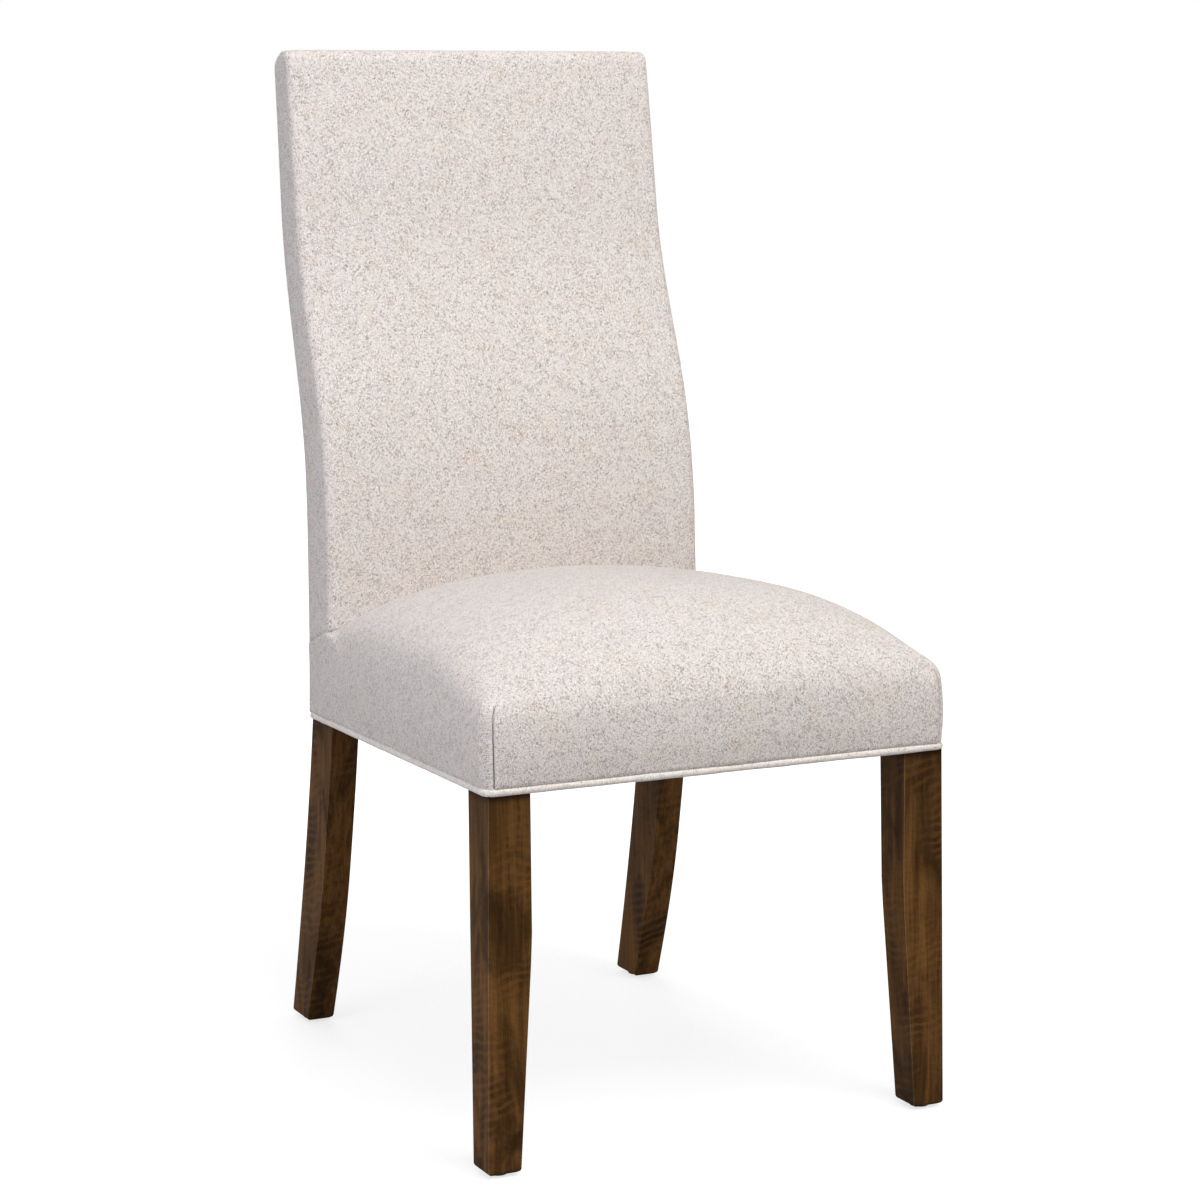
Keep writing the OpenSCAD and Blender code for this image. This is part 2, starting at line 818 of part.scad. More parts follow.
module dust_cover() {
    inset = welt_d + gap;
    y0 = cover_front_y + inset;
    y1 = cover_rear_y - inset;
    color([0.12, 0.12, 0.12])
        difference() {
            seat_frame()
                translate([0, 0, rail_z - 0.8])
                    linear_extrude(0.8)
                        difference() {
                            polygon([
                                [-seat_half(y0) + inset, y0], [seat_half(y0) - inset, y0],
                                [seat_half(y1) - inset, y1], [-seat_half(y1) + inset, y1]
                            ]);
                            for (side = [-1, 1]) {
                                translate([side * leg_mid, front_leg_d / 2])
                                    square([front_leg_w + 2, front_leg_d + 2], center = true);
                                translate([side * (post_outer(seat_base_h) - rear_leg_w / 2), leg_rear(seat_base_h)])
                                    square([rear_leg_w + 3, 2 * rear_leg_d + 10], center = true);
                            }
                        }
            staples(gap / 3);
        }
}

staple_w = 10;
staple_wire = 1;
staple_l = 8;
// Places of the staples along the front and rear rails and along the side rails
staple_half = 150;
staple_pitch = 60;
side_staple_y = 40;
side_staple_pitch = 75;
side_staples = 5;

module staple(extra) {
    translate([-staple_w / 2 - extra, -staple_wire / 2 - extra, -staple_wire])
        cube([staple_w + 2 * extra, staple_wire + 2 * extra, staple_wire + extra]);
    for (s = [-1, 1])
        translate([s * (staple_w - staple_wire) / 2 - staple_wire / 2 - extra, -staple_wire / 2 - extra, -0.5])
            cube([staple_wire + 2 * extra, staple_wire + 2 * extra, staple_l + 0.5 + extra]);
}

// Staples through the dust cover into the rails
module staples(extra) {
    z = rail_z - 0.8;
    seat_frame() {
        for (x = [-staple_half:staple_pitch:staple_half]) {
            translate([x, rebate + rail_t / 2, z])
                staple(extra);
            translate([x, rear_rail_y + rail_t / 2, z])
                staple(extra);
        }
        for (side = [-1, 1])
            mirrored(side)
                for (k = [0:side_staples - 1])
                    translate([front_half, rail_front_y, z])
                        rotate([0, 0, side_angle])
                            translate([-rail_t / 2, side_staple_y + side_staple_pitch * k, 0])
                                rotate([0, 0, 90])
                                    staple(extra);
    }
}

// Back upholstery

// One section of the back, from the rear left round the front to the rear right
function back_row(z, lift, side_in, front_in, rear) =
    let (
        hw = back_half(z) - side_in - lift,
        y0 = back_front(z) + front_in + lift,
        r = max(2, 10 - front_in),
        half_row = concat(
            [for (k = [0:5]) let (x = (hw - r) * k / 5) [x, y0 - back_crown * (1 - pow(x / hw, 2))]],
            [for (k = [1:3]) let (a = 30 * k) [hw - r + r * sin(a), y0 + r - r * cos(a)]],
            [[hw, (y0 + r + rear) / 2], [hw, rear]]
        ),
        n = len(half_row)
    )
    concat(
        [for (k = [n - 1:-1:1]) [-half_row[k][0], half_row[k][1]]],
        half_row
    );

// The back's surface, drawn in at the sides, front and top
function back_rows(z0, side_in, front_in, top_in, n) =
    let (
        top = chair_h - top_in,
        r = max(2, back_edge_r - top_in),
        rear = function (z) back_rear(z) - panel_t - gap
    )
    concat(
        [for (k = [0:n]) let (z = z0 + (top - r - z0) * k / n)
            [for (p = back_row(z, 0, side_in, front_in, rear(z))) [p[0], p[1], z]]],
        [for (a = [30, 60, 90]) let (z = top - r + r * sin(a), lift = r * (1 - cos(a)))
            [for (p = back_row(z, lift, side_in, front_in, rear(z) - (a == 90 ? 1 : 0))) [p[0], p[1], z]]],
        [let (a = back_half(top) - side_in - r - 1, m = 20)
            [for (c = [0:m]) [a * (2 * c / m - 1), rear(top), top]]]
    );

module inside_back_cover() {
    color([0.86, 0.83, 0.80])
        between(back_rows(tab_h, cloth_t, cloth_t, cloth_t, 18), back_rows(tab_h, 0, 0, 0, 18));
}

module back_foam() {
    side_in = back_half(post_top) - post_outer(post_top) - gap;
    in = cloth_t + gap;
    color([0.93, 0.88, 0.66])
        between(
            back_rows(tab_h + 2, side_in, front_pad + cloth_t - strap_t - gap, chair_h - post_top - gap, 16),
            back_rows(tab_h + 2, in, in, in, 16)
        );
}

outside_low = seat_base_h + welt_d + gap - cover_rear_y * sin(seat_tilt);

// A sheet behind the posts that follows the back, with its rounded top corners
module rear_sheet(low, top, depth0, depth1, edge_in) {
    r = back_edge_r;
    function edge(z) = (z < tab_h ? cover_rear_half : back_half(z)) - edge_in;
    function top_arc(side) =
        [for (k = [0:4]) let (a = side > 0 ? k * 22.5 : 90 + k * 22.5)
            [side * (edge(top) - r) + r * cos(a), top - r + r * sin(a)]];
    intersection() {
        from_side()
            polygon(concat(
                [for (z = heights(low, top, 36)) [back_rear(z) - depth1, z]],
                [for (z = heights(top, low, 36)) [back_rear(z) - depth0, z]]
            ));
        from_front()
            polygon(concat(
                [[-edge(low), low], [edge(low), low], [edge(tab_h), tab_h]],
                top_arc(1), top_arc(-1), [[-edge(tab_h), tab_h]]
            ));
    }
}

module outside_back_cover() {
    color([0.85, 0.82, 0.79])
        rear_sheet(outside_low, chair_h - 1, 0, cloth_t, 0.6);
}

module outside_back_batting() {
    color([0.95, 0.95, 0.93])
        rear_sheet(outside_low + 4, post_top, cloth_t + gap, cover_out - gap, 5);
}

// Glides under the feet

glide_r = 10;
nail_r = 1.5;
nail_l = 18;
glide_places = [
    for (side = [-1, 1]) [side * (leg_outer(0) - front_foot_w / 2), front_foot_d / 2],
    for (side = [-1, 1]) [side * (post_outer(0) - rear_leg_w / 2), leg_rear(0) - rear_foot_d / 2]
];

module glide_nails(extra) {
    for (p = glide_places)
        translate([p[0], p[1], glide_t - 1])
            cylinder(h = nail_l + 1 + extra, r = nail_r + extra);
}

module foot_glides() {
    color([0.55, 0.53, 0.50])
        for (p = glide_places)
            translate([p[0], p[1], 0])
                union() {
                    rotate_extrude()
                        polygon([[0, 0], [glide_r - 0.8, 0], [glide_r, 0.8], [glide_r, glide_t], [0, glide_t]]);
                    translate([0, 0, glide_t - 1])
                        cylinder(h = nail_l + 1, r = nail_r);
                }
}

// The middle of the chair's depth stands over the origin
depth_front = cover_front_y - band_bulge;
depth_rear = max(leg_rear(0), back_rear(chair_h));
module chair() {
    translate([0, -(depth_front + depth_rear) / 2, 0])
        children();
}

chair() mirror([1, 0, 0]) front_leg_right();  // front_leg_left
chair() front_leg_right();
chair() mirror([1, 0, 0]) rear_post_right();  // rear_post_left
chair() rear_post_right();
chair() front_seat_rail();
chair() rear_seat_rail();
chair() mirror([1, 0, 0]) side_seat_rail_right();  // side_seat_rail_left
chair() side_seat_rail_right();
chair() back_rail(top_rail_z);  // back_top_rail
chair() back_rail(middle_rail_z);  // back_middle_rail
chair() back_rail(bottom_rail_z);  // back_bottom_rail
chair() mirror([1, 0, 0]) corner_block(true);  // corner_block_front_left
chair() corner_block(true);  // corner_block_front_right
chair() mirror([1, 0, 0]) corner_block(false);  // corner_block_rear_left
chair() corner_block(false);  // corner_block_rear_right
chair() color("silver") block_screws(0);  // corner_block_screws
chair() color([0.85, 0.74, 0.55]) seat_dowels(dowel_r);  // seat_frame_dowels
chair() color([0.85, 0.74, 0.55]) back_dowels(dowel_r);  // back_frame_dowels
chair() seat_straps_across();
chair() seat_straps_lengthwise();
chair() back_straps();
chair() seat_foam();
chair() seat_batting();
chair() seat_cover();
chair() mirror([1, 0, 0]) side_tab();  // side_cover_tab_left
chair() side_tab();  // side_cover_tab_right
chair() seat_welt();
chair() dust_cover();
chair() color("silver") staples(0);  // dust_cover_staples
chair() back_foam();
chair() inside_back_cover();
chair() outside_back_batting();
chair() outside_back_cover();
chair() foot_glides();
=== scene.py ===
"""Looks of the upholstered high-back side chair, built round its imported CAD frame. Metres, +Z up."""

import json
import math
import random

import bmesh
import bpy
import numpy as np
from mathutils import Matrix, Vector, noise


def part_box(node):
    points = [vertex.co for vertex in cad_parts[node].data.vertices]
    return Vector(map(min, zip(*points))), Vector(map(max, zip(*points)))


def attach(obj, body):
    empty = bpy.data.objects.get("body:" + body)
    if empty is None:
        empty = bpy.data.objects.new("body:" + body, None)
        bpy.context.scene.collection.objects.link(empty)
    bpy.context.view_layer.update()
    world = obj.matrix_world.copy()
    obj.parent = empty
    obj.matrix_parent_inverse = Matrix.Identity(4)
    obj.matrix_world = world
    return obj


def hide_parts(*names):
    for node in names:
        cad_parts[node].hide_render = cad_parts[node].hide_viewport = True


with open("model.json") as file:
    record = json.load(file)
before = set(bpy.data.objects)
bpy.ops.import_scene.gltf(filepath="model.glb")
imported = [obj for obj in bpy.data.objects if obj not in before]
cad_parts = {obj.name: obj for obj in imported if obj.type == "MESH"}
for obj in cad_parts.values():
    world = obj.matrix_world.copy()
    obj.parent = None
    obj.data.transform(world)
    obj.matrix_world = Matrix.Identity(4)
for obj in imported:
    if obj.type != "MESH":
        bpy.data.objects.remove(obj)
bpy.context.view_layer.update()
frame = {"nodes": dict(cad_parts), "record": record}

# Sizes of the part's source, in metres
CHAIR_H, FRONT_W, REAR_W, FRAME_D = 1.044, 0.484, 0.426, 0.5275
SEAT_BASE_H, SEAT_TILT, BAND_H, CROWN_H, BAND_BULGE = 0.361, math.radians(1.7), 0.067, 0.098, 0.003
FRONT_CORNER_R, WELT_D = 0.014, 0.006
BACK_LOW_W, BACK_TOP_W, BACK_LOW_T, BACK_TOP_T = 0.430, 0.4174, 0.057, 0.0365
LEAN_STEP, TOP_LEAN, LEAN_LOW_H, LEAN_HIGH_H = 0.037, math.radians(5.7), 0.604, 0.874
BACK_EDGE_R, BACK_CROWN = 0.012, 0.003
REAR_LEG_W, FOOT_KICK, KICK_POWER, POST_LEAN = 0.030, 0.083, 1.34, 0.0085
RAIL_H, REBATE, REAR_REBATE = 0.052, 0.004, 0.0065
CLOTH_T, GAP = 0.0012, 0.0003
LEG_INNER, FRONT_LEG_D, REAR_LEG_D = 0.198, 0.046, 0.058
RAIL_Z, LEAN_ROUND = 0.004, 0.040
# The seat's crown: its highest place and its end as shares of the depth, and the powers that shape its falls
CROWN_MID, CROWN_END = 0.54, 1.104
ACROSS_IN, ACROSS_OUT = 1.75, 0.28
ALONG_IN, ALONG_OUT = 3.6, 0.79
# The front of the seat is stuffed fuller than its sides
FRONT_FULLNESS, FRONT_FULL_REACH = 0.0085, 0.034
# Heights of the fold between the seat's side and the back's side, at the back's front and rear
FOLD_FRONT_H, FOLD_REAR_H = 0.445, 0.423

# Forms that only the looks have
BACK_FULLNESS = 0.0060  # more stuffing in the front of the back
BEND_FULLNESS, BEND_H, BEND_REACH = 0.0026, 0.69, 0.06  # and more still where the back bends
FOOT_ROUND = 0.005  # lower edges of the feet
WORN_EDGE = 0.0017  # other edges of the legs
SEAM_TOP = 0.079  # height of the front corner seams over the lower edge of the seat
SEAM_ANGLE = math.radians(246)
PRESSED_IN = 0.0022  # paddings end this far under the cover's surface
SIM_FRAMES = 20

# What follows from the sizes
DECK_Z = RAIL_Z + RAIL_H + 0.0033
COVER_OUT = REBATE + 0.0015
PANEL_T = CLOTH_T + GAP
KICK_H = SEAT_BASE_H + 0.043  # below this the rear legs sweep rearward
LEAN_START = LEAN_LOW_H - LEAN_ROUND
SHOULDER_H = SEAT_BASE_H + RAIL_Z + RAIL_H  # top of the seat rails
POST_TOP = CHAIR_H - BACK_EDGE_R - 0.004
RIM_Z = WELT_D - 0.0007
# The front faces of the front legs lie here
FRONT_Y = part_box("front_leg_left")[0].y


def smooth(t):
    c = np.clip(t, 0, 1)
    return c * c * (3 - 2 * c)


def lean(z):
    """How far the back has gone rearward at a height: a slope with a soft start, and a smooth step."""
    t = z - LEAN_START
    return math.tan(TOP_LEAN) * (t + np.sqrt(t * t + LEAN_ROUND**2)) / 2 + LEAN_STEP * smooth(
        (z - LEAN_LOW_H) / (LEAN_HIGH_H - LEAN_LOW_H)
    )


def foot_kick(z):
    """How far the rear leg's sabre sweep reaches rearward at a height."""
    return FOOT_KICK * np.maximum(0, 1 - z / KICK_H) ** KICK_POWER


def back_rear(z):
    """Depth of the outside back's surface at a height."""
    return FRONT_Y + FRAME_D + foot_kick(z) + lean(z) - REAR_REBATE + COVER_OUT


def back_front(z):
    """Depth of the inside back's surface at a height, before its extra stuffing."""
    grow = np.maximum(0, z - LEAN_START) / (CHAIR_H - LEAN_START)
    return back_rear(z) - BACK_LOW_T - (BACK_TOP_T - BACK_LOW_T) * grow


def back_half(z):
    """Half of the back's width at a height."""
    return (BACK_LOW_W + (BACK_TOP_W - BACK_LOW_W) * (z - SHOULDER_H) / (CHAIR_H - SHOULDER_H)) / 2


COVER_FRONT_Y = FRONT_Y + REBATE - COVER_OUT - 0.0015
COVER_FRONT_HALF = FRONT_W / 2 - REBATE + COVER_OUT
SEAT_REAR_Y = (
    float(back_front(SHOULDER_H + 0.060)) - BACK_CROWN - 2 * GAP - (BAND_H + CROWN_H) * math.sin(SEAT_TILT)
)
COVER_REAR_Y = float(back_rear(SEAT_BASE_H))
POST_OUTER = REAR_W / 2 - POST_LEAN * SEAT_BASE_H / POST_TOP
COVER_REAR_HALF = POST_OUTER + COVER_OUT


def seat_half(y):
    """Half of the seat cover's width at a depth."""
    return COVER_FRONT_HALF + (COVER_REAR_HALF - COVER_FRONT_HALF) * (y - COVER_FRONT_Y) / (
        COVER_REAR_Y - COVER_FRONT_Y
    )


def fold_h(y):
    """Height of the fold between the seat's side and the back's side."""
    t = np.clip((y - SEAT_REAR_Y) / (COVER_REAR_Y - SEAT_REAR_Y), 0, 1)
    return FOLD_FRONT_H + (FOLD_REAR_H - FOLD_FRONT_H) * t


def seat_level(y, z):
    """Height above the seat's tilted plane of a point at height z."""
    return (z - SEAT_BASE_H + (y - FRONT_Y) * math.sin(SEAT_TILT)) / math.cos(SEAT_TILT)


CORNER_RISE = seat_level(SEAT_REAR_Y, FOLD_FRONT_H) - BAND_H


def crown(x, y):
    """Height of the seat's crown over the plane of its lower edge."""
    u = np.minimum(1, np.abs(x) / seat_half(y))
    v = np.clip((y - COVER_FRONT_Y) / (SEAT_REAR_Y - COVER_FRONT_Y), 0, 1)
    s = np.where(v < CROWN_MID, (CROWN_MID - v) / CROWN_MID, (v - CROWN_MID) / (CROWN_END - CROWN_MID))
    across = np.maximum(0, 1 - u**ACROSS_IN) ** ACROSS_OUT
    along = np.maximum(0, 1 - np.minimum(1, s) ** ALONG_IN) ** ALONG_OUT
    body = CROWN_H * along * across
    front = FRONT_FULLNESS * np.exp(-(((y - COVER_FRONT_Y) / FRONT_FULL_REACH) ** 2))
    rise = CORNER_RISE * smooth((y - SEAT_REAR_Y + 0.09) / 0.09)
    return BAND_H + front + (rise + body + np.sqrt((rise - body) ** 2 + (0.2 * rise) ** 2)) / 2


def from_seat(points):
    """Points given from the seat's tilted plane, in the chair's frame."""
    p = np.asarray(points, float).reshape(-1, 3)
    c, s = math.cos(SEAT_TILT), math.sin(SEAT_TILT)
    y = p[:, 1] - FRONT_Y
    return np.stack([p[:, 0], FRONT_Y + y * c + p[:, 2] * s, SEAT_BASE_H - y * s + p[:, 2] * c], 1)


# Materials


class Shader:
    """A material's node tree, with short calls for what the materials here share."""

    def __init__(self, name):
        self.material = bpy.data.materials.new(name)
        self.material.use_nodes = True
        self.tree = self.material.node_tree
        self.tree.nodes.clear()
        out = self.node("ShaderNodeOutputMaterial")
        self.bsdf = self.node("ShaderNodeBsdfPrincipled")
        self.link(self.bsdf.outputs[0], out.inputs["Surface"])
        self.where = self.node("ShaderNodeTexCoord").outputs["Object"]

    def node(self, kind, **settings):
        n = self.tree.nodes.new(kind)
        for key, value in settings.items():
            setattr(n, key, value)
        return n

    def link(self, a, b):
        self.tree.links.new(a, b)

    def set(self, **values):
        names = {
            "rough": "Roughness", "metal": "Metallic", "specular": "Specular IOR Level",
            "sheen": "Sheen Weight", "sheen_rough": "Sheen Roughness",
            "coat": "Coat Weight", "coat_rough": "Coat Roughness",
        }
        for key, value in values.items():
            self.bsdf.inputs[names[key]].default_value = value
        return self

    def moved(self, scale=(1, 1, 1), turn=(0, 0, 0), at=None):
        """Coordinates scaled and turned, for a texture to follow."""
        m = self.node("ShaderNodeMapping")
        m.inputs["Scale"].default_value = scale
        m.inputs["Rotation"].default_value = turn
        self.link(at or self.where, m.inputs["Vector"])
        return m.outputs[0]

    def along(self, direction, stretch):
        """Coordinates in which a texture comes out longer along one direction."""
        turn = Vector(direction).rotation_difference(Vector((0, 0, 1))).to_euler()
        return self.moved((1, 1, 1 / stretch), at=self.moved(turn=turn))

    def fill(self, node, values):
        """Give a node's inputs numbers, colours or links, whichever each value is."""
        for slot, value in values.items():
            if isinstance(value, (int, float)):
                node.inputs[slot].default_value = value
            elif isinstance(value, tuple):
                node.inputs[slot].default_value = (*value, 1)
            else:
                self.link(value, node.inputs[slot])
        return node

    def noise(self, scale, detail=2.0, rough=0.5, distort=0.0, at=None):
        values = {"Scale": scale, "Detail": detail, "Roughness": rough, "Distortion": distort}
        return self.fill(self.node("ShaderNodeTexNoise"), values | {"Vector": at or self.where}).outputs["Fac"]

    def cells(self, scale, at=None):
        n = self.node("ShaderNodeTexVoronoi")
        return self.fill(n, {"Scale": scale, "Vector": at or self.where})

    def bands(self, scale, direction, distort=0.0, detail=2.0, detail_scale=1.0, at=None):
        n = self.node("ShaderNodeTexWave", wave_type="BANDS", bands_direction=direction)
        values = {"Scale": scale, "Distortion": distort, "Detail": detail, "Detail Scale": detail_scale}
        return self.fill(n, values | {"Vector": at or self.where}).outputs["Fac"]

    def span(self, value, low, high, to_low=0.0, to_high=1.0):
        """A smooth step: to_low up to low, and to_high from high on."""
        n = self.node("ShaderNodeMapRange", interpolation_type="SMOOTHSTEP")
        values = {"Value": value, "From Min": low, "From Max": high, "To Min": to_low, "To Max": to_high}
        return self.fill(n, values).outputs["Result"]

    def math(self, kind, a, b):
        return self.fill(self.node("ShaderNodeMath", operation=kind), {0: a, 1: b}).outputs[0]

    def mix(self, fac, a, b, kind="MIX"):
        n = self.node("ShaderNodeMix", data_type="RGBA", blend_type=kind)
        return self.fill(n, {0: fac, 6: a, 7: b}).outputs[2]

    def colour(self, value):
        self.link(value, self.bsdf.inputs["Base Color"])
        return self

    def rough(self, value):
        self.link(value, self.bsdf.inputs["Roughness"])
        return self

    def bump(self, height, depth, strength=1.0):
        n = self.node("ShaderNodeBump")
        n.inputs["Distance"].default_value = depth
        n.inputs["Strength"].default_value = strength
        self.link(height, n.inputs["Height"])
        self.link(n.outputs[0], self.bsdf.inputs["Normal"])
        return self


def tweed(name, base, pale, grey, warm, rose, knot=1650.0, bump=0.0004):
    """Woven cloth of short slanting strokes, pale and grey, with painted shade at their edges and a slow drift
    of colour.
    """
    s = Shader(name).set(sheen=0.2, sheen_rough=0.5, specular=0.15)
    tilt = s.span(s.noise(85, 2, 0.5), 0.40, 0.60)
    fields = []
    for at in (s.along((0.58, 0.34, 0.74), 2.7), s.along((-0.62, 0.30, 0.72), 2.7)):
        cell = s.cells(knot, at)
        split = s.node("ShaderNodeSeparateColor")
        s.link(cell.outputs["Color"], split.inputs[0])
        fields.append((split.outputs[0], split.outputs[1], cell.outputs["Distance"]))
    picked = []
    for one, other in zip(*fields):
        pick = s.node("ShaderNodeMix", data_type="FLOAT")
        picked.append(s.fill(pick, {0: tilt, 2: one, 3: other}).outputs[0])
    stroke, dark, between = picked
    fine = s.noise(1250, 3, 0.7)
    c = s.mix(s.span(stroke, 0.0, 0.40), grey, base)
    c = s.mix(s.span(stroke, 0.55, 0.95), c, pale)
    c = s.mix(s.span(dark, 0.82, 0.95, 0.0, 0.7), c, grey)
    # Painted shade: every stroke darkens towards its edges, as shade between the yarns
    c = s.mix(s.span(between, 0.35, 0.75, 0.0, 0.40), c, grey, "MULTIPLY")
    c = s.mix(s.span(s.noise(34, 3, 0.55), 0.50, 0.70, 0.0, 0.42), c, warm, "MULTIPLY")
    drift = s.noise(47, 2, 0.5, at=s.moved(turn=(0.6, 0.3, 0.9)))
    c = s.mix(s.span(drift, 0.54, 0.70, 0.0, 0.5), c, rose, "MULTIPLY")
    c = s.mix(s.span(fine, 0.30, 0.66, 0.30, 0.0), c, grey, "MULTIPLY")
    s.colour(c)
    s.rough(s.span(fine, 0.2, 0.8, 0.82, 0.98))
    height = s.math("SUBTRACT", s.math("MULTIPLY", fine, 0.5), between)
    return s.bump(height, bump, 0.8).material


def stained(name, deep, mid, light, lift=1.0):
    """Curly maple under dark stain: ripples across the grain, long blotches, fine pores and a satin coat, with
    painted shade under the seat.
    """
    s = Shader(name).set(specular=0.16, coat=0.02, coat_rough=0.35)
    s.bsdf.inputs["Specular Tint"].default_value = (1.0, 0.66, 0.38, 1)
    grain = s.noise(230, 6, 0.62, 0.3, at=s.moved((1, 1, 0.045)))
    ripple = s.bands(36, "Z", 9, 3, 0.7, at=s.moved(turn=(0.30, 0.20, 0)))
    where = s.span(s.noise(14, 3, 0.55, 0.4), 0.42, 0.60)
    ripple = s.math("MULTIPLY", s.span(ripple, 0.30, 0.95), where)
    blotch = s.span(s.noise(24, 4, 0.60, 0.8, at=s.moved((1, 1, 0.34), (0.2, 0.3, 0))), 0.42, 0.66)
    c = s.mix(s.span(grain, 0.30, 0.72), mid, light)
    c = s.mix(s.math("MULTIPLY", blotch, 0.78), c, deep)
    c = s.mix(s.math("MULTIPLY", ripple, 0.36), c, light)
    streak = s.span(s.bands(60, "Z", 12, 4, 0.9, at=s.moved(turn=(0.45, -0.35, 0))), 0.75, 1.0)
    c = s.mix(s.math("MULTIPLY", streak, 0.13), c, deep)
    pores = s.span(s.noise(900, 3, 0.6, at=s.moved((1, 1, 0.03))), 0.60, 0.72)
    c = s.mix(s.math("MULTIPLY", pores, 0.45), c, deep)
    # Painted shade: the wood darkens towards the tops of the legs under the seat, and most in a narrow band
    # just under the seat's welt
    level = s.node("ShaderNodeSeparateXYZ")
    s.link(s.moved(turn=(SEAT_TILT, 0, 0)), level.inputs[0])
    under = SEAT_BASE_H * math.cos(SEAT_TILT) + FRONT_Y * math.sin(SEAT_TILT)
    c = s.mix(s.span(level.outputs[2], under - 0.11, under - 0.01, 0.0, 0.22), c, deep)
    c = s.mix(s.span(level.outputs[2], under - 0.010, under - 0.0015, 0.0, 0.8), c, deep)
    s.colour(c)
    s.rough(s.span(grain, 0.25, 0.75, 0.46, 0.62))
    height = s.math("SUBTRACT", grain, s.math("MULTIPLY", pores, 0.6))
    return s.bump(height, 0.00022 * lift, 0.5).material


def plain_wood(name, mid, dark):
    s = Shader(name).set(specular=0.3)
    grain = s.noise(180, 5, 0.6, 0.4, at=s.moved((0.06, 1, 1)))
    rings = s.bands(11, "Z", 4, 3, 0.7)
    c = s.mix(s.span(grain, 0.3, 0.7), mid, dark)
    c = s.mix(s.math("MULTIPLY", s.span(rings, 0.55, 0.95), 0.25), c, dark)
    s.colour(c)
    s.rough(s.span(grain, 0.2, 0.8, 0.55, 0.72))
    return s.bump(grain, 0.0002, 0.5).material


def metal(name, tint, rough):
    s = Shader(name).set(metal=1.0)
    scratch = s.noise(700, 3, 0.6, at=s.moved((1, 1, 0.15)))
    s.colour(s.mix(s.span(scratch, 0.3, 0.8), tint, tuple(0.72 * v for v in tint)))
    s.rough(s.span(s.noise(260, 2), 0.3, 0.7, rough, rough + 0.18))
    return s.bump(scratch, 0.00005, 0.4).material


def fibrous(name, base, dark, scale, bump, rough=0.95):
    s = Shader(name).set(sheen=0.15, specular=0.2, rough=rough)
    lumps = s.noise(scale, 4, 0.65, 0.3)
    pits = s.cells(scale * 1.6).outputs["Distance"]
    s.colour(s.mix(s.span(lumps, 0.3, 0.75), dark, base))
    return s.bump(s.math("ADD", lumps, s.math("MULTIPLY", pits, 0.5)), bump, 0.6).material


def ribbed(name, base, stripe):
    s = Shader(name).set(sheen=0.1, specular=0.3, rough=0.8)
    ribs = s.bands(150, "X", 0.4, 1)
    cross = s.bands(190, "Y", 0.4, 1)
    s.colour(s.mix(s.math("MULTIPLY", ribs, s.span(s.noise(60, 3), 0.3, 0.7, 0.5, 1.0)), base, stripe))
    return s.bump(s.math("ADD", ribs, cross), 0.0003, 0.6).material


CLOTH = tweed(
    "cover_cloth", base=(0.915, 0.845, 0.785), pale=(1.0, 0.97, 0.92), grey=(0.39, 0.345, 0.325),
    warm=(1.0, 0.965, 0.88), rose=(0.98, 0.925, 0.925),
)
WELT_CLOTH = tweed(
    "welt_cloth", base=(0.95, 0.90, 0.84), pale=(1.0, 0.97, 0.92), grey=(0.70, 0.64, 0.58),
    warm=(1.0, 0.97, 0.90), rose=(1.0, 0.95, 0.93), knot=1300, bump=0.00045,
)
# Dark thread: up the front seams it is thread and painted shade in the seam's groove at once; the back's
# stitches use it as plain thread
THREAD_AND_SEAM_SHADE = fibrous("seam_thread_and_shade", (0.36, 0.32, 0.30), (0.13, 0.115, 0.105), 420, 0.0001)
FUZZ = fibrous("loose_fibre", (0.95, 0.91, 0.87), (0.80, 0.75, 0.70), 1500, 0.0001)
WOOD = stained("stained_maple", (0.013, 0.0054, 0.0016), (0.078, 0.0330, 0.0080), (0.185, 0.084, 0.023))
# The legs' rounded edges in lighter wood: partly stain worn thin, partly a painted highlight along the edges
WOOD_EDGE_WEAR_AND_HIGHLIGHT = stained(
    "stained_maple_edge_wear_and_highlight", (0.100, 0.056, 0.028), (0.260, 0.155, 0.085), (0.42, 0.27, 0.15), lift=0.6
)
SLOTS = {
    "stained_maple": WOOD,
    "raw_maple": plain_wood("raw_maple", (0.62, 0.47, 0.30), (0.48, 0.34, 0.20)),
    "dowel_beech": plain_wood("dowel_beech", (0.60, 0.42, 0.26), (0.45, 0.29, 0.16)),
    "zinc_screws": metal("zinc_screws", (0.62, 0.63, 0.60), 0.28),
    "staple_wire": metal("staple_wire", (0.58, 0.58, 0.58), 0.32),
    "webbing": ribbed("webbing", (0.012, 0.012, 0.014), (0.045, 0.045, 0.05)),
    "foam": fibrous("foam", (0.80, 0.70, 0.42), (0.66, 0.55, 0.30), 900, 0.0006),
    "batting": fibrous("batting", (0.86, 0.86, 0.83), (0.70, 0.70, 0.68), 260, 0.0012),
    "cover_cloth": CLOTH,
    "welt_cloth": WELT_CLOTH,
    "dust_cloth": fibrous("dust_cloth", (0.018, 0.018, 0.019), (0.007, 0.007, 0.008), 700, 0.0003),
    "glide_nylon": fibrous("glide_nylon", (0.20, 0.185, 0.16), (0.14, 0.13, 0.115), 500, 0.00008, 0.45),
}
for part in frame["record"]["subparts"]:
    data = frame["nodes"][part["node"]].data
    data.materials.clear()
    data.materials.append(SLOTS[part["material_slot"]])


# Meshes


def placed(name, data):
    """A new object of this mesh, light or camera."""
    ob = bpy.data.objects.new(name, data)
    bpy.context.collection.objects.link(ob)
    return ob


def all_smooth(mesh):
    mesh.polygons.foreach_set("use_smooth", [True] * len(mesh.polygons))


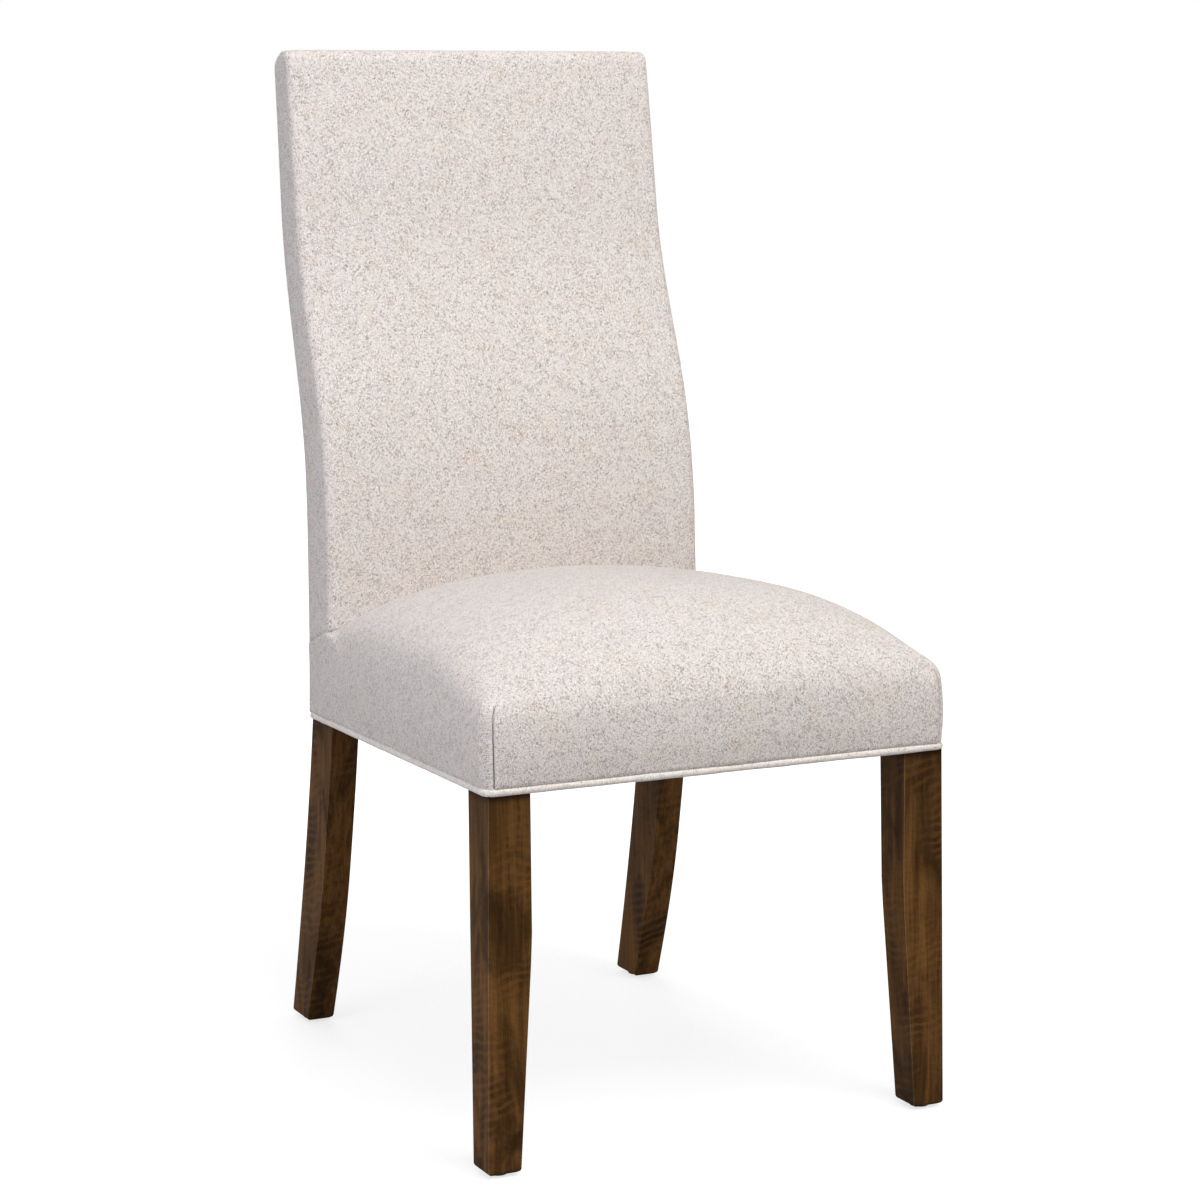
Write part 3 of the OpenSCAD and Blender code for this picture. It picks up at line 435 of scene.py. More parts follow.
def riding(name, mesh, nodes=()):
    """A visible piece of the chair, shown in place of the given nodes."""
    ob = placed(name, mesh)
    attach(ob, "root")
    if nodes:
        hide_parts(*nodes)
    return ob


def piece(name, verts, faces, material, nodes=()):
    """A smooth piece of the chair from its points and faces."""
    mesh = bpy.data.meshes.new(name)
    mesh.from_pydata([tuple(v) for v in verts], [], faces)
    mesh.validate()
    all_smooth(mesh)
    mesh.materials.append(material)
    return riding(name, mesh, nodes)


def node_copy(node):
    """A copy of a node's mesh, and the same open for editing with its doubled points merged."""
    mesh = frame["nodes"][node].data.copy()
    bm = bmesh.new()
    bm.from_mesh(mesh)
    bmesh.ops.remove_doubles(bm, verts=bm.verts, dist=1e-5)
    return mesh, bm


def grid_faces(rows, cols, around=False, start=0):
    """Faces between rows of points, each row closed on itself if they go around."""
    last = cols if around else cols - 1
    return [
        (start + r * cols + c, start + r * cols + (c + 1) % cols,
         start + (r + 1) * cols + (c + 1) % cols, start + (r + 1) * cols + c)
        for r in range(rows - 1) for c in range(last)
    ]


def unevenness(points, scale, depth, seed):
    """A smooth, seeded wander for each point, between plus and minus depth."""
    shift = Vector((seed * 7.3, seed * 3.1, seed * 5.7))
    return np.array([noise.noise(Vector(p) * scale + shift) for p in points]) * depth


def line(a, b, step):
    """Even steps from a up to, but without, b."""
    n = max(1, round(abs(b - a) / step))
    return [a + (b - a) * k / n for k in range(n)]


# Seat cover

FAR = 9  # stands for points that lie nowhere near a seam
PLAN_STEP = 0.006
# The cushion's rows of points: two under the rim, then the wall up to the ridge, then the crown
WALL_ROWS, CROWN_ROWS = 19, 34
RIDGE_ROW = WALL_ROWS + 1


def seat_outline():
    """Right half of the seat's plan, from the middle of the front round to the rear.

    Each entry is a point, its outward direction and its distance from the corner seam.
    """
    slope = math.atan2(seat_half(COVER_FRONT_Y) - seat_half(SEAT_REAR_Y), SEAT_REAR_Y - COVER_FRONT_Y)
    r = FRONT_CORNER_R
    cx, cy = seat_half(COVER_FRONT_Y + r) - r, COVER_FRONT_Y + r
    right = [(x, COVER_FRONT_Y, 0, -1, FAR) for x in line(0, cx, PLAN_STEP)]
    start, steps = -math.pi / 2, 20
    seam = 3 * math.pi - SEAM_ANGLE - math.pi * 2
    marks = [0, 0.0004, 0.0008, 0.0013, 0.002, 0.003]
    even = {round(start + (slope - start) * k / steps, 5) for k in range(steps + 1)}
    by_seam = {seam + side * m / r for m in marks for side in (-1, 1)}
    for a in sorted(even | by_seam):
        right.append((cx + r * math.cos(a), cy + r * math.sin(a), math.cos(a), math.sin(a), (a - seam) * r))
    for y in line(cy, SEAT_REAR_Y, PLAN_STEP)[1:] + [SEAT_REAR_Y - 0.0005, SEAT_REAR_Y]:
        right.append((seat_half(y), y, math.cos(slope), math.sin(slope), FAR))
    return right


def swell(h):
    """How far the seat's side bulges at a height over its lower edge."""
    return BAND_BULGE * np.sin(math.pi * 0.8 * np.clip(h / BAND_H, 0, 1))


def rounded(rows, spread, reach):
    """The profiles with their ridge worn round: each column of points is smoothed along its own length.

    The ridge is smoothed half as much where it nears the back.
    """
    cols = np.stack(rows, 1)
    step = 0.001
    kernel = np.exp(-0.5 * (np.arange(-3 * spread, 3 * spread + step / 2, step) / spread) ** 2)
    kernel /= kernel.sum()
    pad = len(kernel) // 2
    for col in cols:
        t = np.concatenate([[0], np.cumsum(np.linalg.norm(np.diff(col, axis=0), axis=1))])
        even = np.arange(0, t[-1], step)
        keep = np.exp(-(((t - t[RIDGE_ROW]) / reach) ** 2))[:, None]
        keep *= 1 - 0.5 * smooth((col[RIDGE_ROW, 1] - SEAT_REAR_Y + 0.050) / 0.045)
        soft = np.empty_like(col)
        for axis in range(3):
            run = np.interp(even, t, col[:, axis])
            run = np.convolve(np.pad(run, pad, "edge"), kernel, "valid")
            soft[:, axis] = np.interp(t, even, run)
        col += (soft - col) * keep
    return [cols[:, k] for k in range(cols.shape[1])]


def seat_cover():
    """The seat's cloth as a closed shell.

    Gives the points, the faces, how many points a row has, how many of them lie in the open (the others are
    behind, against the back), and the two columns that run along the corner seams.
    """
    right = seat_outline()
    left = [(-x, y, -nx, ny, s) for x, y, nx, ny, s in right[1:]]
    rear_x = line(seat_half(SEAT_REAR_Y), -seat_half(SEAT_REAR_Y), 0.012)[1:]
    ring = left[::-1] + right
    n_open = len(ring)
    ring = ring + [(x, SEAT_REAR_Y, 0, 1, FAR) for x in rear_x]
    n = len(ring)
    p = np.array([r[:2] for r in ring])
    out = np.array([r[2:4] for r in ring])
    seam = np.array([abs(r[4]) for r in ring])
    rear = np.arange(n) >= n_open
    by_seam = np.argsort(seam)[:2]
    seam_cols = by_seam[np.argsort(p[by_seam, 0])]
    mid = np.array([0, COVER_FRONT_Y + CROWN_MID * (SEAT_REAR_Y - COVER_FRONT_Y)])
    # The seam lies in a groove between two low lips
    groove = 0.0026 * np.exp(-((seam / 0.0007) ** 2)) - 0.0006 * np.exp(-(((seam - 0.0026) / 0.0014) ** 2))
    rows = []

    def row(xy, z):
        rows.append(np.column_stack([xy, z]))

    def groove_at(z):
        return groove * smooth((SEAM_TOP + 0.006 - z) / 0.012)

    low = np.where(rear, DECK_Z + 0.002, RIM_Z)
    row(p - out * 0.005, low)
    row(p - out * 0.0007, low + 0.0001)
    top = crown(p[:, 0], p[:, 1])
    for k in range(WALL_ROWS):
        z = low + 0.0006 + (top - low - 0.0006) * (k / (WALL_ROWS - 1))
        row(p + out * (np.where(rear, 0, swell(z)) - groove_at(z))[:, None], z)
    for k in range(1, CROWN_ROWS):
        inward = k / CROWN_ROWS
        h = inward**0.92
        share = (1 - h ** (1 / ACROSS_OUT)) ** (1 / ACROSS_IN)
        q = mid + (p - mid) * share
        z = crown(q[:, 0], q[:, 1])
        keep = swell(BAND_H) * (1 - inward) ** 2
        drop = np.where(rear, 0.004 * (1 - inward) ** 6, 0)
        row(q + out * (np.where(rear, 0, keep) - groove_at(z))[:, None], z - drop)
    sharp = [r.copy() for r in rows]
    rows = rounded(rows, spread=0.010, reach=0.040)
    for soft, hard in zip(rows, sharp):
        soft[rear] = hard[rear]
    verts = np.vstack([*rows, [[mid[0], mid[1], float(crown(mid[0], mid[1]))]]])
    crest, last = len(verts) - 1, (len(rows) - 1) * n
    faces = grid_faces(len(rows), n, around=True)
    faces += [(last + c, last + (c + 1) % n, crest) for c in range(n)]
    faces.append(tuple(range(n - 1, -1, -1)))
    return from_seat(verts), faces, n, n_open, seam_cols


def settled(verts):
    """The seat's cloth with the slight unevenness of its stuffing."""
    away = verts - np.array([0, -0.05, 0.40])
    away /= np.linalg.norm(away, axis=1)[:, None]
    return verts + away * unevenness(verts, 9, 0.0011, 1)[:, None]


def swollen(ob, held, push, most):
    """Cloth held at some points and pushed from inside, moved along its normals by "most" at the most.

    Each point keeps only its own part of the swelling, and less of it where it goes inward.
    """
    mesh = ob.data
    start = np.array([v.co for v in mesh.vertices])
    free = np.ones(len(start), bool)
    free[held] = False
    normals = np.array([v.normal for v in mesh.vertices])
    ob.vertex_groups.new(name="held").add([int(i) for i in held], 1.0, "REPLACE")
    cloth = ob.modifiers.new("cloth", "CLOTH")
    soft = cloth.settings
    soft.vertex_group_mass, soft.quality, soft.mass = "held", 6, 0.25
    soft.tension_stiffness = soft.compression_stiffness = 18
    soft.shear_stiffness, soft.bending_stiffness, soft.air_damping = 6, 0.6, 4
    soft.use_pressure, soft.uniform_pressure_force = True, push
    soft.effector_weights.gravity = 0
    cloth.collision_settings.use_self_collision = False
    scene = bpy.context.scene
    cloth.point_cache.frame_start, cloth.point_cache.frame_end = 1, SIM_FRAMES
    for frame_number in range(1, SIM_FRAMES + 1):
        scene.frame_set(frame_number)
    shown = ob.evaluated_get(bpy.context.evaluated_depsgraph_get())
    end = np.array([v.co for v in shown.data.vertices])
    ob.modifiers.remove(cloth)
    ob.vertex_groups.clear()
    scene.frame_set(1)
    out = np.nan_to_num(np.einsum("ij,ij->i", end - start, normals))
    own = np.where(free, out - np.median(out[free]), 0)
    # Shared out between neighbours, scaled and softly limited
    links = np.array([e.vertices for e in mesh.edges])
    for _ in range(6):
        total, count = own.copy(), np.ones(len(own))
        for a, b in ((0, 1), (1, 0)):
            np.add.at(total, links[:, a], own[links[:, b]])
            np.add.at(count, links[:, a], 1)
        own = np.where(free, total / count, 0)
    own *= most / max(most, np.percentile(np.abs(own[free]), 92))
    own = most * np.tanh(own * np.where(own < 0, 0.35, 1) / most)
    print("swelling of", ob.name, "mm:", np.round(1000 * np.percentile(own, (0, 10, 50, 90, 100)), 2))
    mesh.vertices.foreach_set("co", (start + normals * own[:, None]).ravel())
    mesh.update()


verts, faces, ring_cols, open_cols, seam_cols = seat_cover()
cushion = piece("seat_cushion_cover", settled(verts), faces, CLOTH, ["seat_cover"])
index = np.arange(len(verts))
col = index % ring_cols
# Held along its lower edge and against the back
swollen(cushion, index[(index < 4 * ring_cols) | (col >= open_cols - 2) | (col < 2)], push=3.0, most=0.0025)
within = [v.co - v.normal * PRESSED_IN for v in cushion.data.vertices]
piece("seat_batting_layer", within, faces, SLOTS["batting"], ["seat_batting"])


# Stitches, dark with painted shade of the seams, and loose fibres along the seams


def strands(name, paths, radius, material, sides=4):
    """Thin threads along the given paths, as one piece. Short ones taper at their ends."""
    verts, faces = [], []
    for path in paths:
        first = len(verts)
        for i, p in enumerate(path):
            ahead = Vector(path[min(i + 1, len(path) - 1)]) - Vector(path[max(i - 1, 0)])
            turn = ahead.to_track_quat("Z", "Y")
            thin = radius * (0.35 if i in (0, len(path) - 1) and len(path) < 8 else 1)
            for k in range(sides):
                a = math.tau * k / sides
                verts.append(Vector(p) + turn @ Vector((thin * math.cos(a), thin * math.sin(a), 0)))
        faces += grid_faces(len(path), sides, around=True, start=first)
        faces.append(tuple(range(first + sides - 1, first - 1, -1)))
        faces.append(tuple(range(len(verts) - sides, len(verts))))
    return piece(name, verts, faces, material)


def corner_cloth(side):
    """The cushion's cloth by a front corner: gives the point at a distance from the seam and a height."""
    rows, mid_row = 40, 8
    points = np.array([v.co for v in cushion.data.vertices][: ring_cols * rows])
    grid = points.reshape(rows, ring_cols, 3)[:, :open_cols]
    run = np.concatenate([[0], np.cumsum(np.linalg.norm(np.diff(grid[mid_row], axis=0), axis=1))])
    run = side * (run - run[seam_cols[0 if side < 0 else 1]])
    index = np.arange(len(run))
    seen = grid[2 : rows - 2]

    def at(distance, height, lift):
        col = np.interp(distance, run, index) if side > 0 else np.interp(distance, run[::-1], index[::-1])
        i = min(int(col), len(run) - 2)
        upward = seen[:, i] * (1 - col + i) + seen[:, i + 1] * (col - i)
        p = np.array([np.interp(height, upward[:, 2], upward[:, k]) for k in range(3)])
        out = p - np.array([side * (COVER_FRONT_HALF - 0.03), COVER_FRONT_Y + 0.03, p[2]])
        return p + out / np.linalg.norm(out) * lift

    return at


def front_seams():
    """The sewn thread up each front corner, dark as painted shade in the seam's groove, and the cloth's loose
    fibres on both sides of it.
    """
    rng = random.Random(11)
    radius, lift = 0.00034, 0.0003
    threads, fibres = [], []
    for side in (-1, 1):
        at = corner_cloth(side)
        low, high = SEAT_BASE_H + 0.006, SEAT_BASE_H + SEAM_TOP
        threads.append([at(rng.uniform(-0.00022, 0.00022), h, lift) for h in np.linspace(low, high, 60)])
        h = low
        while h < high:
            for start, end, drop in (
                (0.0006, rng.uniform(0.006, 0.0115), rng.uniform(-0.0022, 0.0006)),
                (-0.0006, -rng.uniform(0.003, 0.0065), rng.uniform(0.0015, 0.0040)),
            ):
                top = min(high + 0.004, h + drop)
                fibres.append([
                    at(start + (end - start) * t, h + (top - h) * t, lift + 0.0005 * t * (1 - t))
                    for t in (0, 0.35, 0.7, 1)
                ])
            h += rng.uniform(0.0008, 0.0014)
    # The dark threads are painted shade in each seam's groove as well as thread
    strands("front_seam_threads_and_shade", threads, radius, THREAD_AND_SEAM_SHADE, 6)
    strands("front_seam_fibres", fibres, radius, FUZZ)


front_seams()


def side_tab(side):
    """The seat's side cloth behind the front of the back.

    In front it runs in under the cushion's shoulder, and at the rear and along its top and bottom it turns in.
    """
    under = 0.16
    along = np.array([-under, -0.12, -0.08, -0.04] + line(0, 1, 0.1) + [1, 1, 1])
    ends = np.array([0] * (len(along) - 3) + [0.0003, 0.0014, 0.006])
    ends = ends + 0.0042 * np.maximum(0, -along / under) ** 1.6
    rows = []
    count, front = 18, SEAT_REAR_Y - 0.0012
    for k in [0, *range(count + 1), count]:
        t = k / count
        turned = 0.006 if len(rows) in (0, count + 2) else 0
        y = np.full(len(along), SEAT_REAR_Y)
        # Height and depth follow from each other along the slanting fold, so they are found in turn
        for _ in range(3):
            top = seat_level(y, fold_h(y))
            h = RIM_Z + (top - RIM_Z) * t
            z = SEAT_BASE_H - (y - FRONT_Y) * math.sin(SEAT_TILT) + h
            y = front + (back_rear(z) - PANEL_T - 2 * GAP - front) * along
        x = seat_half(y) + swell(h) * (1 - smooth(along * 1.2)) + 0.00015 - ends - turned
        rows.append(np.column_stack([side * x, y - 0.4 * ends * (along > 0), h]))
    faces = grid_faces(len(rows), len(along))
    if side < 0:
        faces = [f[::-1] for f in faces]
    hand = "left" if side < 0 else "right"
    name = "side_cover_tab_" + hand
    tab = piece(name + "_cloth", settled(from_seat(np.vstack(rows))), faces, CLOTH, [name])


for side in (-1, 1):
    side_tab(side)

# Back cover


def top_drop(x, y, z):
    """How far the top of the back rounds down toward its rear, more so at its corners."""
    depth = np.clip(1 - (back_rear(z) - CLOTH_T - y) / (BACK_TOP_T + BACK_FULLNESS - CLOTH_T), 0, 1)
    near_top = smooth((z - CHAIR_H + 0.045) / 0.045)
    ends = 0.55 + 0.45 * smooth((np.abs(x) - 0.17) / 0.035)
    return 0.0095 * (1 - np.sqrt(1 - 0.98 * depth**2)) * near_top * ends


def rear_edge(z):
    """Depth at which the inside back's cloth ends, just inside the outside back's."""
    return float(back_rear(z)) - CLOTH_T - 0.0004


def back_cover():
    """The inside back's cloth, round the front, the sides and the top, with its rear edges turned in."""
    side_steps, arc_steps, across_steps, top_steps = 9, 7, 35, 9
    side_r, top_r = 0.009, BACK_EDGE_R
    levels = [(z, 0.0) for z in line(FOLD_FRONT_H, CHAIR_H - top_r, 0.006)]
    for k in range(top_steps + 1):
        a = math.pi / 2 * k / top_steps
        levels.append((CHAIR_H - top_r + top_r * math.sin(a), top_r * (1 - math.cos(a))))
    rows = []
    for z, lift in levels:
        hw = float(back_half(z)) + 0.0014 - 0.30 * lift
        full = BACK_FULLNESS + BEND_FULLNESS * math.exp(-(((z - BEND_H) / BEND_REACH) ** 2))
        y0 = float(back_front(z)) + lift - full
        rear = rear_edge(z)
        half = []
        for k in range(across_steps + 1):
            x = (hw - side_r) * k / across_steps
            half.append((x, y0 - BACK_CROWN * (1 - (x / hw) ** 2)))
        for k in range(1, arc_steps + 1):
            a = math.pi / 2 * k / arc_steps
            half.append((hw - side_r + side_r * math.sin(a), y0 + side_r - side_r * math.cos(a)))
        for k in range(1, side_steps + 1):
            t = k / side_steps
            x = hw - (0.0008 + 0.45 * lift) * t + 0.0012 * math.sin(math.pi * t)
            half.append((x, y0 + side_r + (rear - y0 - side_r) * t))
        half += [(x - turned, rear + 0.0002) for turned in (0.0012, 0.0060)]
        rows.append(np.array([(x, y, z) for x, y in [(-x, y) for x, y in half[:0:-1]] + half]))
    # The top runs back flat from its rounded front edge
    rim, rear = rows[-1], rear_edge(CHAIR_H)
    for t in (0.15, 0.3, 0.45, 0.6, 0.72, 0.82, 0.90, 0.96, 1.0):
        flat = rim.copy()
        flat[:, 0] *= 1 - 0.020 * t
        flat[:, 1] = rim[:, 1] + np.maximum(0, rear - rim[:, 1]) * t
        rows.append(flat)
    # It turns down inside the outside back
    turned = rows[-1].copy()
    turned[:, 0] *= 0.994
    turned[:, 2] -= 0.007
    rows.append(turned)
    # The lower rows drop to the fold at the sides, and the last one turns in under it
    for k, row in enumerate(rows[:8]):
        tuck = 0.010 * smooth((SEAT_REAR_Y + 0.004 - row[:, 1]) / 0.006)
        row[:, 2] += (fold_h(row[:, 1]) + 0.0004 - FOLD_FRONT_H - tuck) * (1 - k / 8)
    low = rows[0].copy()
    low[:, 0] *= 1 - 0.005 / low[:, 0].max()
    low[:, 1] += 0.004 * (1 - (np.abs(low[:, 0]) / 0.215) ** 8)
    rows.insert(0, low)
    verts = np.vstack(rows)
    verts[:, 2] -= top_drop(verts[:, 0], verts[:, 1], verts[:, 2])
    return verts, grid_faces(len(rows), len(rows[0])), len(rows[0])


verts, faces, cols = back_cover()
wander = unevenness(verts, 7, 0.0013, 2) + unevenness(verts, 24, 0.0004, 3)
front = smooth((back_front(verts[:, 2]) + 0.012 - verts[:, 1]) / 0.012)
verts[:, 1] -= wander * front
back = piece("inside_back_cloth", verts, faces, CLOTH, ["inside_back_cover"])
# Held along its rear edges and its lower edge
held = np.nonzero((verts[:, 1] > back_rear(verts[:, 2]) - 0.008) | (np.arange(len(verts)) < 3 * cols))[0]
swollen(back, held, push=2.0, most=0.0018)

# Foam


def pressed_foam(node):
    """The foam of a node a little smaller all over, and as round at the top of the back as its cover."""
    mesh, bm = node_copy(node)
    bm.normal_update()
    for v, co in [(v, v.co - v.normal * PRESSED_IN) for v in bm.verts]:
        if co.z > CHAIR_H - 0.06:
            co.z -= 0.001 + float(top_drop(co.x, co.y + 0.003, min(co.z + 0.004, CHAIR_H)))
        v.co = co
    bm.to_mesh(mesh)
    bm.free()
    riding(node + "_pressed", mesh, [node])


for node in ("seat_foam", "back_foam"):
    pressed_foam(node)

# Outside back


def outside_back():
    """The outside back's cloth, its corners round at the top: points, faces, width and height."""
    low = SEAT_BASE_H + WELT_D + GAP - (COVER_REAR_Y - FRONT_Y) * math.sin(SEAT_TILT)
    top, r, top_steps = CHAIR_H - 0.001, BACK_EDGE_R, 8
    levels = line(low, top - r, 0.008)
    levels += [top - r + r * math.sin(math.pi / 2 * k / top_steps) for k in range(top_steps + 1)]
    across = np.linspace(-1, 1, 61)
    rows = []
    for z in levels:
        half = (COVER_REAR_HALF if z < FOLD_REAR_H else float(back_half(z)) + 0.001) - 0.0006
        over = max(0.0, z - (top - r))
        half -= r - math.sqrt(max(0.0, r * r - over * over))
        edge = np.minimum((1 - np.abs(across)) * half, min(z - low, top - z) + 0.001)
        turn = 0.0009 * (1 - smooth(edge / 0.005))
        rows.append(np.column_stack([across * half, float(back_rear(z)) - turn, np.full(len(across), z)]))
    faces = [f[::-1] for f in grid_faces(len(rows), len(across))]
    return np.vstack(rows), faces, (2 * COVER_REAR_HALF, top - low)


verts, faces, size = outside_back()
verts[:, 2] -= top_drop(verts[:, 0], verts[:, 1] + 0.002, verts[:, 2])
verts[:, 1] += unevenness(verts, 8, 0.0007, 4) - 0.0003
outside = piece("outside_back_cloth", verts, faces, CLOTH, ["outside_back_cover"])
thick = outside.modifiers.new("thickness", "SOLIDIFY")
thick.thickness, thick.offset = CLOTH_T, -1


def back_stitches():
    """The slip stitches that close the outside back along its sides."""
    rng = random.Random(23)
    apart = 0.0075
    # Distance in from the edge and depth under the cloth, at a stitch's three points
    stitch = (0.0030, 0.0006), (0.0019, -0.0001), (0.0008, 0.0004)
    paths = []
    for side in (-1, 1):
        for z in np.arange(SEAT_BASE_H + 0.075, CHAIR_H - 0.020, apart):
            x, y = float(back_half(z)) + 0.001, float(back_rear(z))
            slip = rng.uniform(-0.0006, 0.0006)
            paths.append([
                (side * (x - inward), y - 0.0002 - under, z + slip + 0.0008 * k)
                for k, (inward, under) in enumerate(stitch)
            ])
    strands("outside_back_stitches", paths, 0.00026, THREAD_AND_SEAM_SHADE)


back_stitches()

# Dust cover


def dust_cover():
    """The thin black cloth under the seat, cut out round the four legs and sagging a little."""
    inset = WELT_D + GAP
    y0, y1 = COVER_FRONT_Y + inset, COVER_REAR_Y - inset
    post = POST_OUTER - REAR_LEG_W - 0.0015
    post_y = FRONT_Y + FRAME_D + foot_kick(SEAT_BASE_H) - REAR_LEG_D - 0.005
    leg_y = FRONT_Y + FRONT_LEG_D + 0.001
    half0, half1 = seat_half(y0) - inset, seat_half(y1) - inset
    front_cut, rear_cut = (LEG_INNER - 0.001) / half0, post / half1
    outer = [side * v for v in (front_cut, 0.985, 1) for side in (-1, 1)]
    us = sorted({*np.linspace(-rear_cut, rear_cut, 31).round(6), *outer})
    ys = line(y0, leg_y, 0.012) + line(leg_y, post_y, 0.016) + line(post_y, y1, 0.012) + [y1]
    verts, faces, area = [], [], 0
    for y in ys:
        half, t = seat_half(y) - inset, (y - y0) / (y1 - y0)
        for u in us:
            sag = 0.0030 * (1 - u * u) ** 0.6 * (4 * t * (1 - t)) ** 0.6
            verts.append((u * half, y, RAIL_Z - 0.0004 - sag))
    n = len(us)
    for r in range(len(ys) - 1):
        for c in range(n - 1):
            u, y = (us[c] + us[c + 1]) / 2, (ys[r] + ys[r + 1]) / 2
            if (abs(u) > front_cut and y < leg_y) or (abs(u) > rear_cut and y > post_y):
                continue
            faces.append((r * n + c, (r + 1) * n + c, (r + 1) * n + c + 1, r * n + c + 1))
            area += (us[c + 1] - us[c]) * (seat_half(y) - inset) * (ys[r + 1] - ys[r])
    used = sorted({i for f in faces for i in f})
    place = {i: k for k, i in enumerate(used)}
    faces = [tuple(place[i] for i in f) for f in faces]
    verts = from_seat([verts[i] for i in used])
    verts[:, 2] += unevenness(verts, 14, 0.0006, 6)
    sheet = piece("dust_cover_sheet", verts, faces, SLOTS["dust_cloth"], ["dust_cover"])


dust_cover()

# Welt


def welt_path():
    """Middle line of the welt in the seat's plane, one closed turn with its outward directions."""
    inset, r, corner_steps, step = WELT_D / 2 - 0.0014, 0.010, 14, 0.004
    y0, y1 = COVER_FRONT_Y + inset, COVER_REAR_Y - inset
    slant = math.atan((seat_half(y0) - seat_half(y1)) / (y1 - y0))
    xf = seat_half(y0) - inset - r * (1 + math.sin(slant)) / math.cos(slant)
    xb = seat_half(y1) - inset - r * (1 - math.sin(slant)) / math.cos(slant)
    quarter = math.pi / 2
    turns = [
        ((xf, y0 + r), -quarter, quarter + slant), ((xb, y1 - r), slant, quarter - slant),
        ((-xb, y1 - r), quarter, quarter - slant), ((-xf, y0 + r), math.pi - slant, quarter + slant),
    ]
    arcs = []
    for (cx, cy), start, turn in turns:
        angles = [start + turn * k / corner_steps for k in range(corner_steps + 1)]
        arcs.append([(cx + r * math.cos(a), cy + r * math.sin(a), a) for a in angles])
    path = []
    for i, arc in enumerate(arcs):
        path += arc
        a, b = arc[-1], arcs[(i + 1) % 4][0]
        n = round(math.dist(a[:2], b[:2]) / step)
        path += [(a[0] + (b[0] - a[0]) * k / n, a[1] + (b[1] - a[1]) * k / n, a[2]) for k in range(1, n)]
    return path


def welt():
    """The welt round the seat's lower edge, slightly uneven: points and faces."""
    path, sides, taller = welt_path(), 18, 1.14
    verts = []
    for x, y, a in path:
        wander = 0.0003 * noise.noise(Vector((x, y, 0)) * 38)
        for j in range(sides):
            phi = math.tau * j / sides
            spot = Vector((x * 160 + j * 0.35, y * 160, phi))
            r = WELT_D / 2 + 0.0002 + 0.00018 * noise.noise(spot) + wander
            out, rise = r * math.cos(phi), taller * r * math.sin(phi)
            verts.append((x + out * math.cos(a), y + out * math.sin(a), WELT_D / 2 - 0.0005 + rise))
    # The last ring of faces closes on the first points
    faces = grid_faces(len(path) + 1, sides, around=True)
    return from_seat(verts), [tuple(f[k] % len(verts) for k in (1, 2, 3, 0)) for f in faces]


verts, faces = welt()
piece("seat_edge_welt", verts, faces, WELT_CLOTH, ["seat_welt"])


# Wood: copies of the legs and posts with worn, rounded edges


def worn_edges(node, name):
    """A leg with its edges rounded over, most of all round the underside of its foot."""
    mesh, bm = node_copy(node)
    bmesh.ops.dissolve_limit(bm, angle_limit=math.radians(0.5), verts=bm.verts, edges=bm.edges)
    low = min(v.co.z for v in bm.verts)
    corners = [v.co for v in bm.verts if v.co.z < low + 1e-4]
    spans = [(min(c[k] for c in corners), max(c[k] for c in corners)) for k in (0, 1)]
    for h in (0.0005, 0.0015, 0.003, FOOT_ROUND):
        geom = [*bm.verts, *bm.edges, *bm.faces]
        bmesh.ops.bisect_plane(bm, geom=geom, plane_co=(0, 0, low + h), plane_no=(0, 0, 1), dist=1e-6)
    for v in bm.verts:
        up = FOOT_ROUND - (v.co.z - low)
        if up > 0:
            worn = FOOT_ROUND - math.sqrt(max(0.0, FOOT_ROUND**2 - up * up))
            for k, (a, b) in enumerate(spans):
                v.co[k] -= (v.co[k] - (a + b) / 2) * worn / ((b - a) / 2)
    bm.to_mesh(mesh)
    bm.free()
    mesh.materials.clear()
    mesh.materials.append(WOOD)
    mesh.materials.append(WOOD_EDGE_WEAR_AND_HIGHLIGHT)
    ob = riding(name, mesh, [node])
    # The bevel's faces take the lighter edge wood, which is worn and carries a painted highlight
    bevel = ob.modifiers.new("edges", "BEVEL")
    bevel.width, bevel.segments, bevel.limit_method = WORN_EDGE, 3, "ANGLE"
    bevel.angle_limit, bevel.material = math.radians(45), 1
    mesh.set_sharp_from_angle(angle=math.radians(30))
    all_smooth(mesh)


for kind in ("front_leg", "rear_post"):
    for side in ("left", "right"):
        worn_edges(f"{kind}_{side}", f"{kind}_{side}_worn")

# Stage: camera, light and floor

# The camera that was fitted to the photo: angles, lens and place
YAW, PITCH, ROLL = 0.446138, 0.146309, -0.0085325
LENS, SENSOR = 93.175, 36
CAMERA_AT = (-1.335236, -2.527762 + FRONT_Y, 0.945204)
FLOOR_HALF = 9


def set_camera():
    """The view of the photo."""
    forward = Vector((math.sin(YAW) * math.cos(PITCH), math.cos(YAW) * math.cos(PITCH), -math.sin(PITCH)))
    level = Vector((math.cos(YAW), -math.sin(YAW), 0))
    over = level.cross(forward)
    right = level * math.cos(ROLL) + over * math.sin(ROLL)
    up = over * math.cos(ROLL) - level * math.sin(ROLL)
    camera = placed("camera", bpy.data.cameras.new("camera"))
    camera.data.lens, camera.data.sensor_width, camera.data.clip_end = LENS, SENSOR, 60
    camera.matrix_world = Matrix.Translation(CAMERA_AT) @ Matrix((right, up, -forward)).transposed().to_4x4()
    bpy.context.scene.camera = camera


def area_light(name, place, aim, size, power, colour):
    data = bpy.data.lights.new(name, "AREA")
    data.shape, data.size, data.energy, data.color = "SQUARE", size, power, colour
    ob = placed(name, data)
    ob.location = place
    ob.rotation_euler = (Vector(aim) - Vector(place)).to_track_quat("-Z", "Y").to_euler()


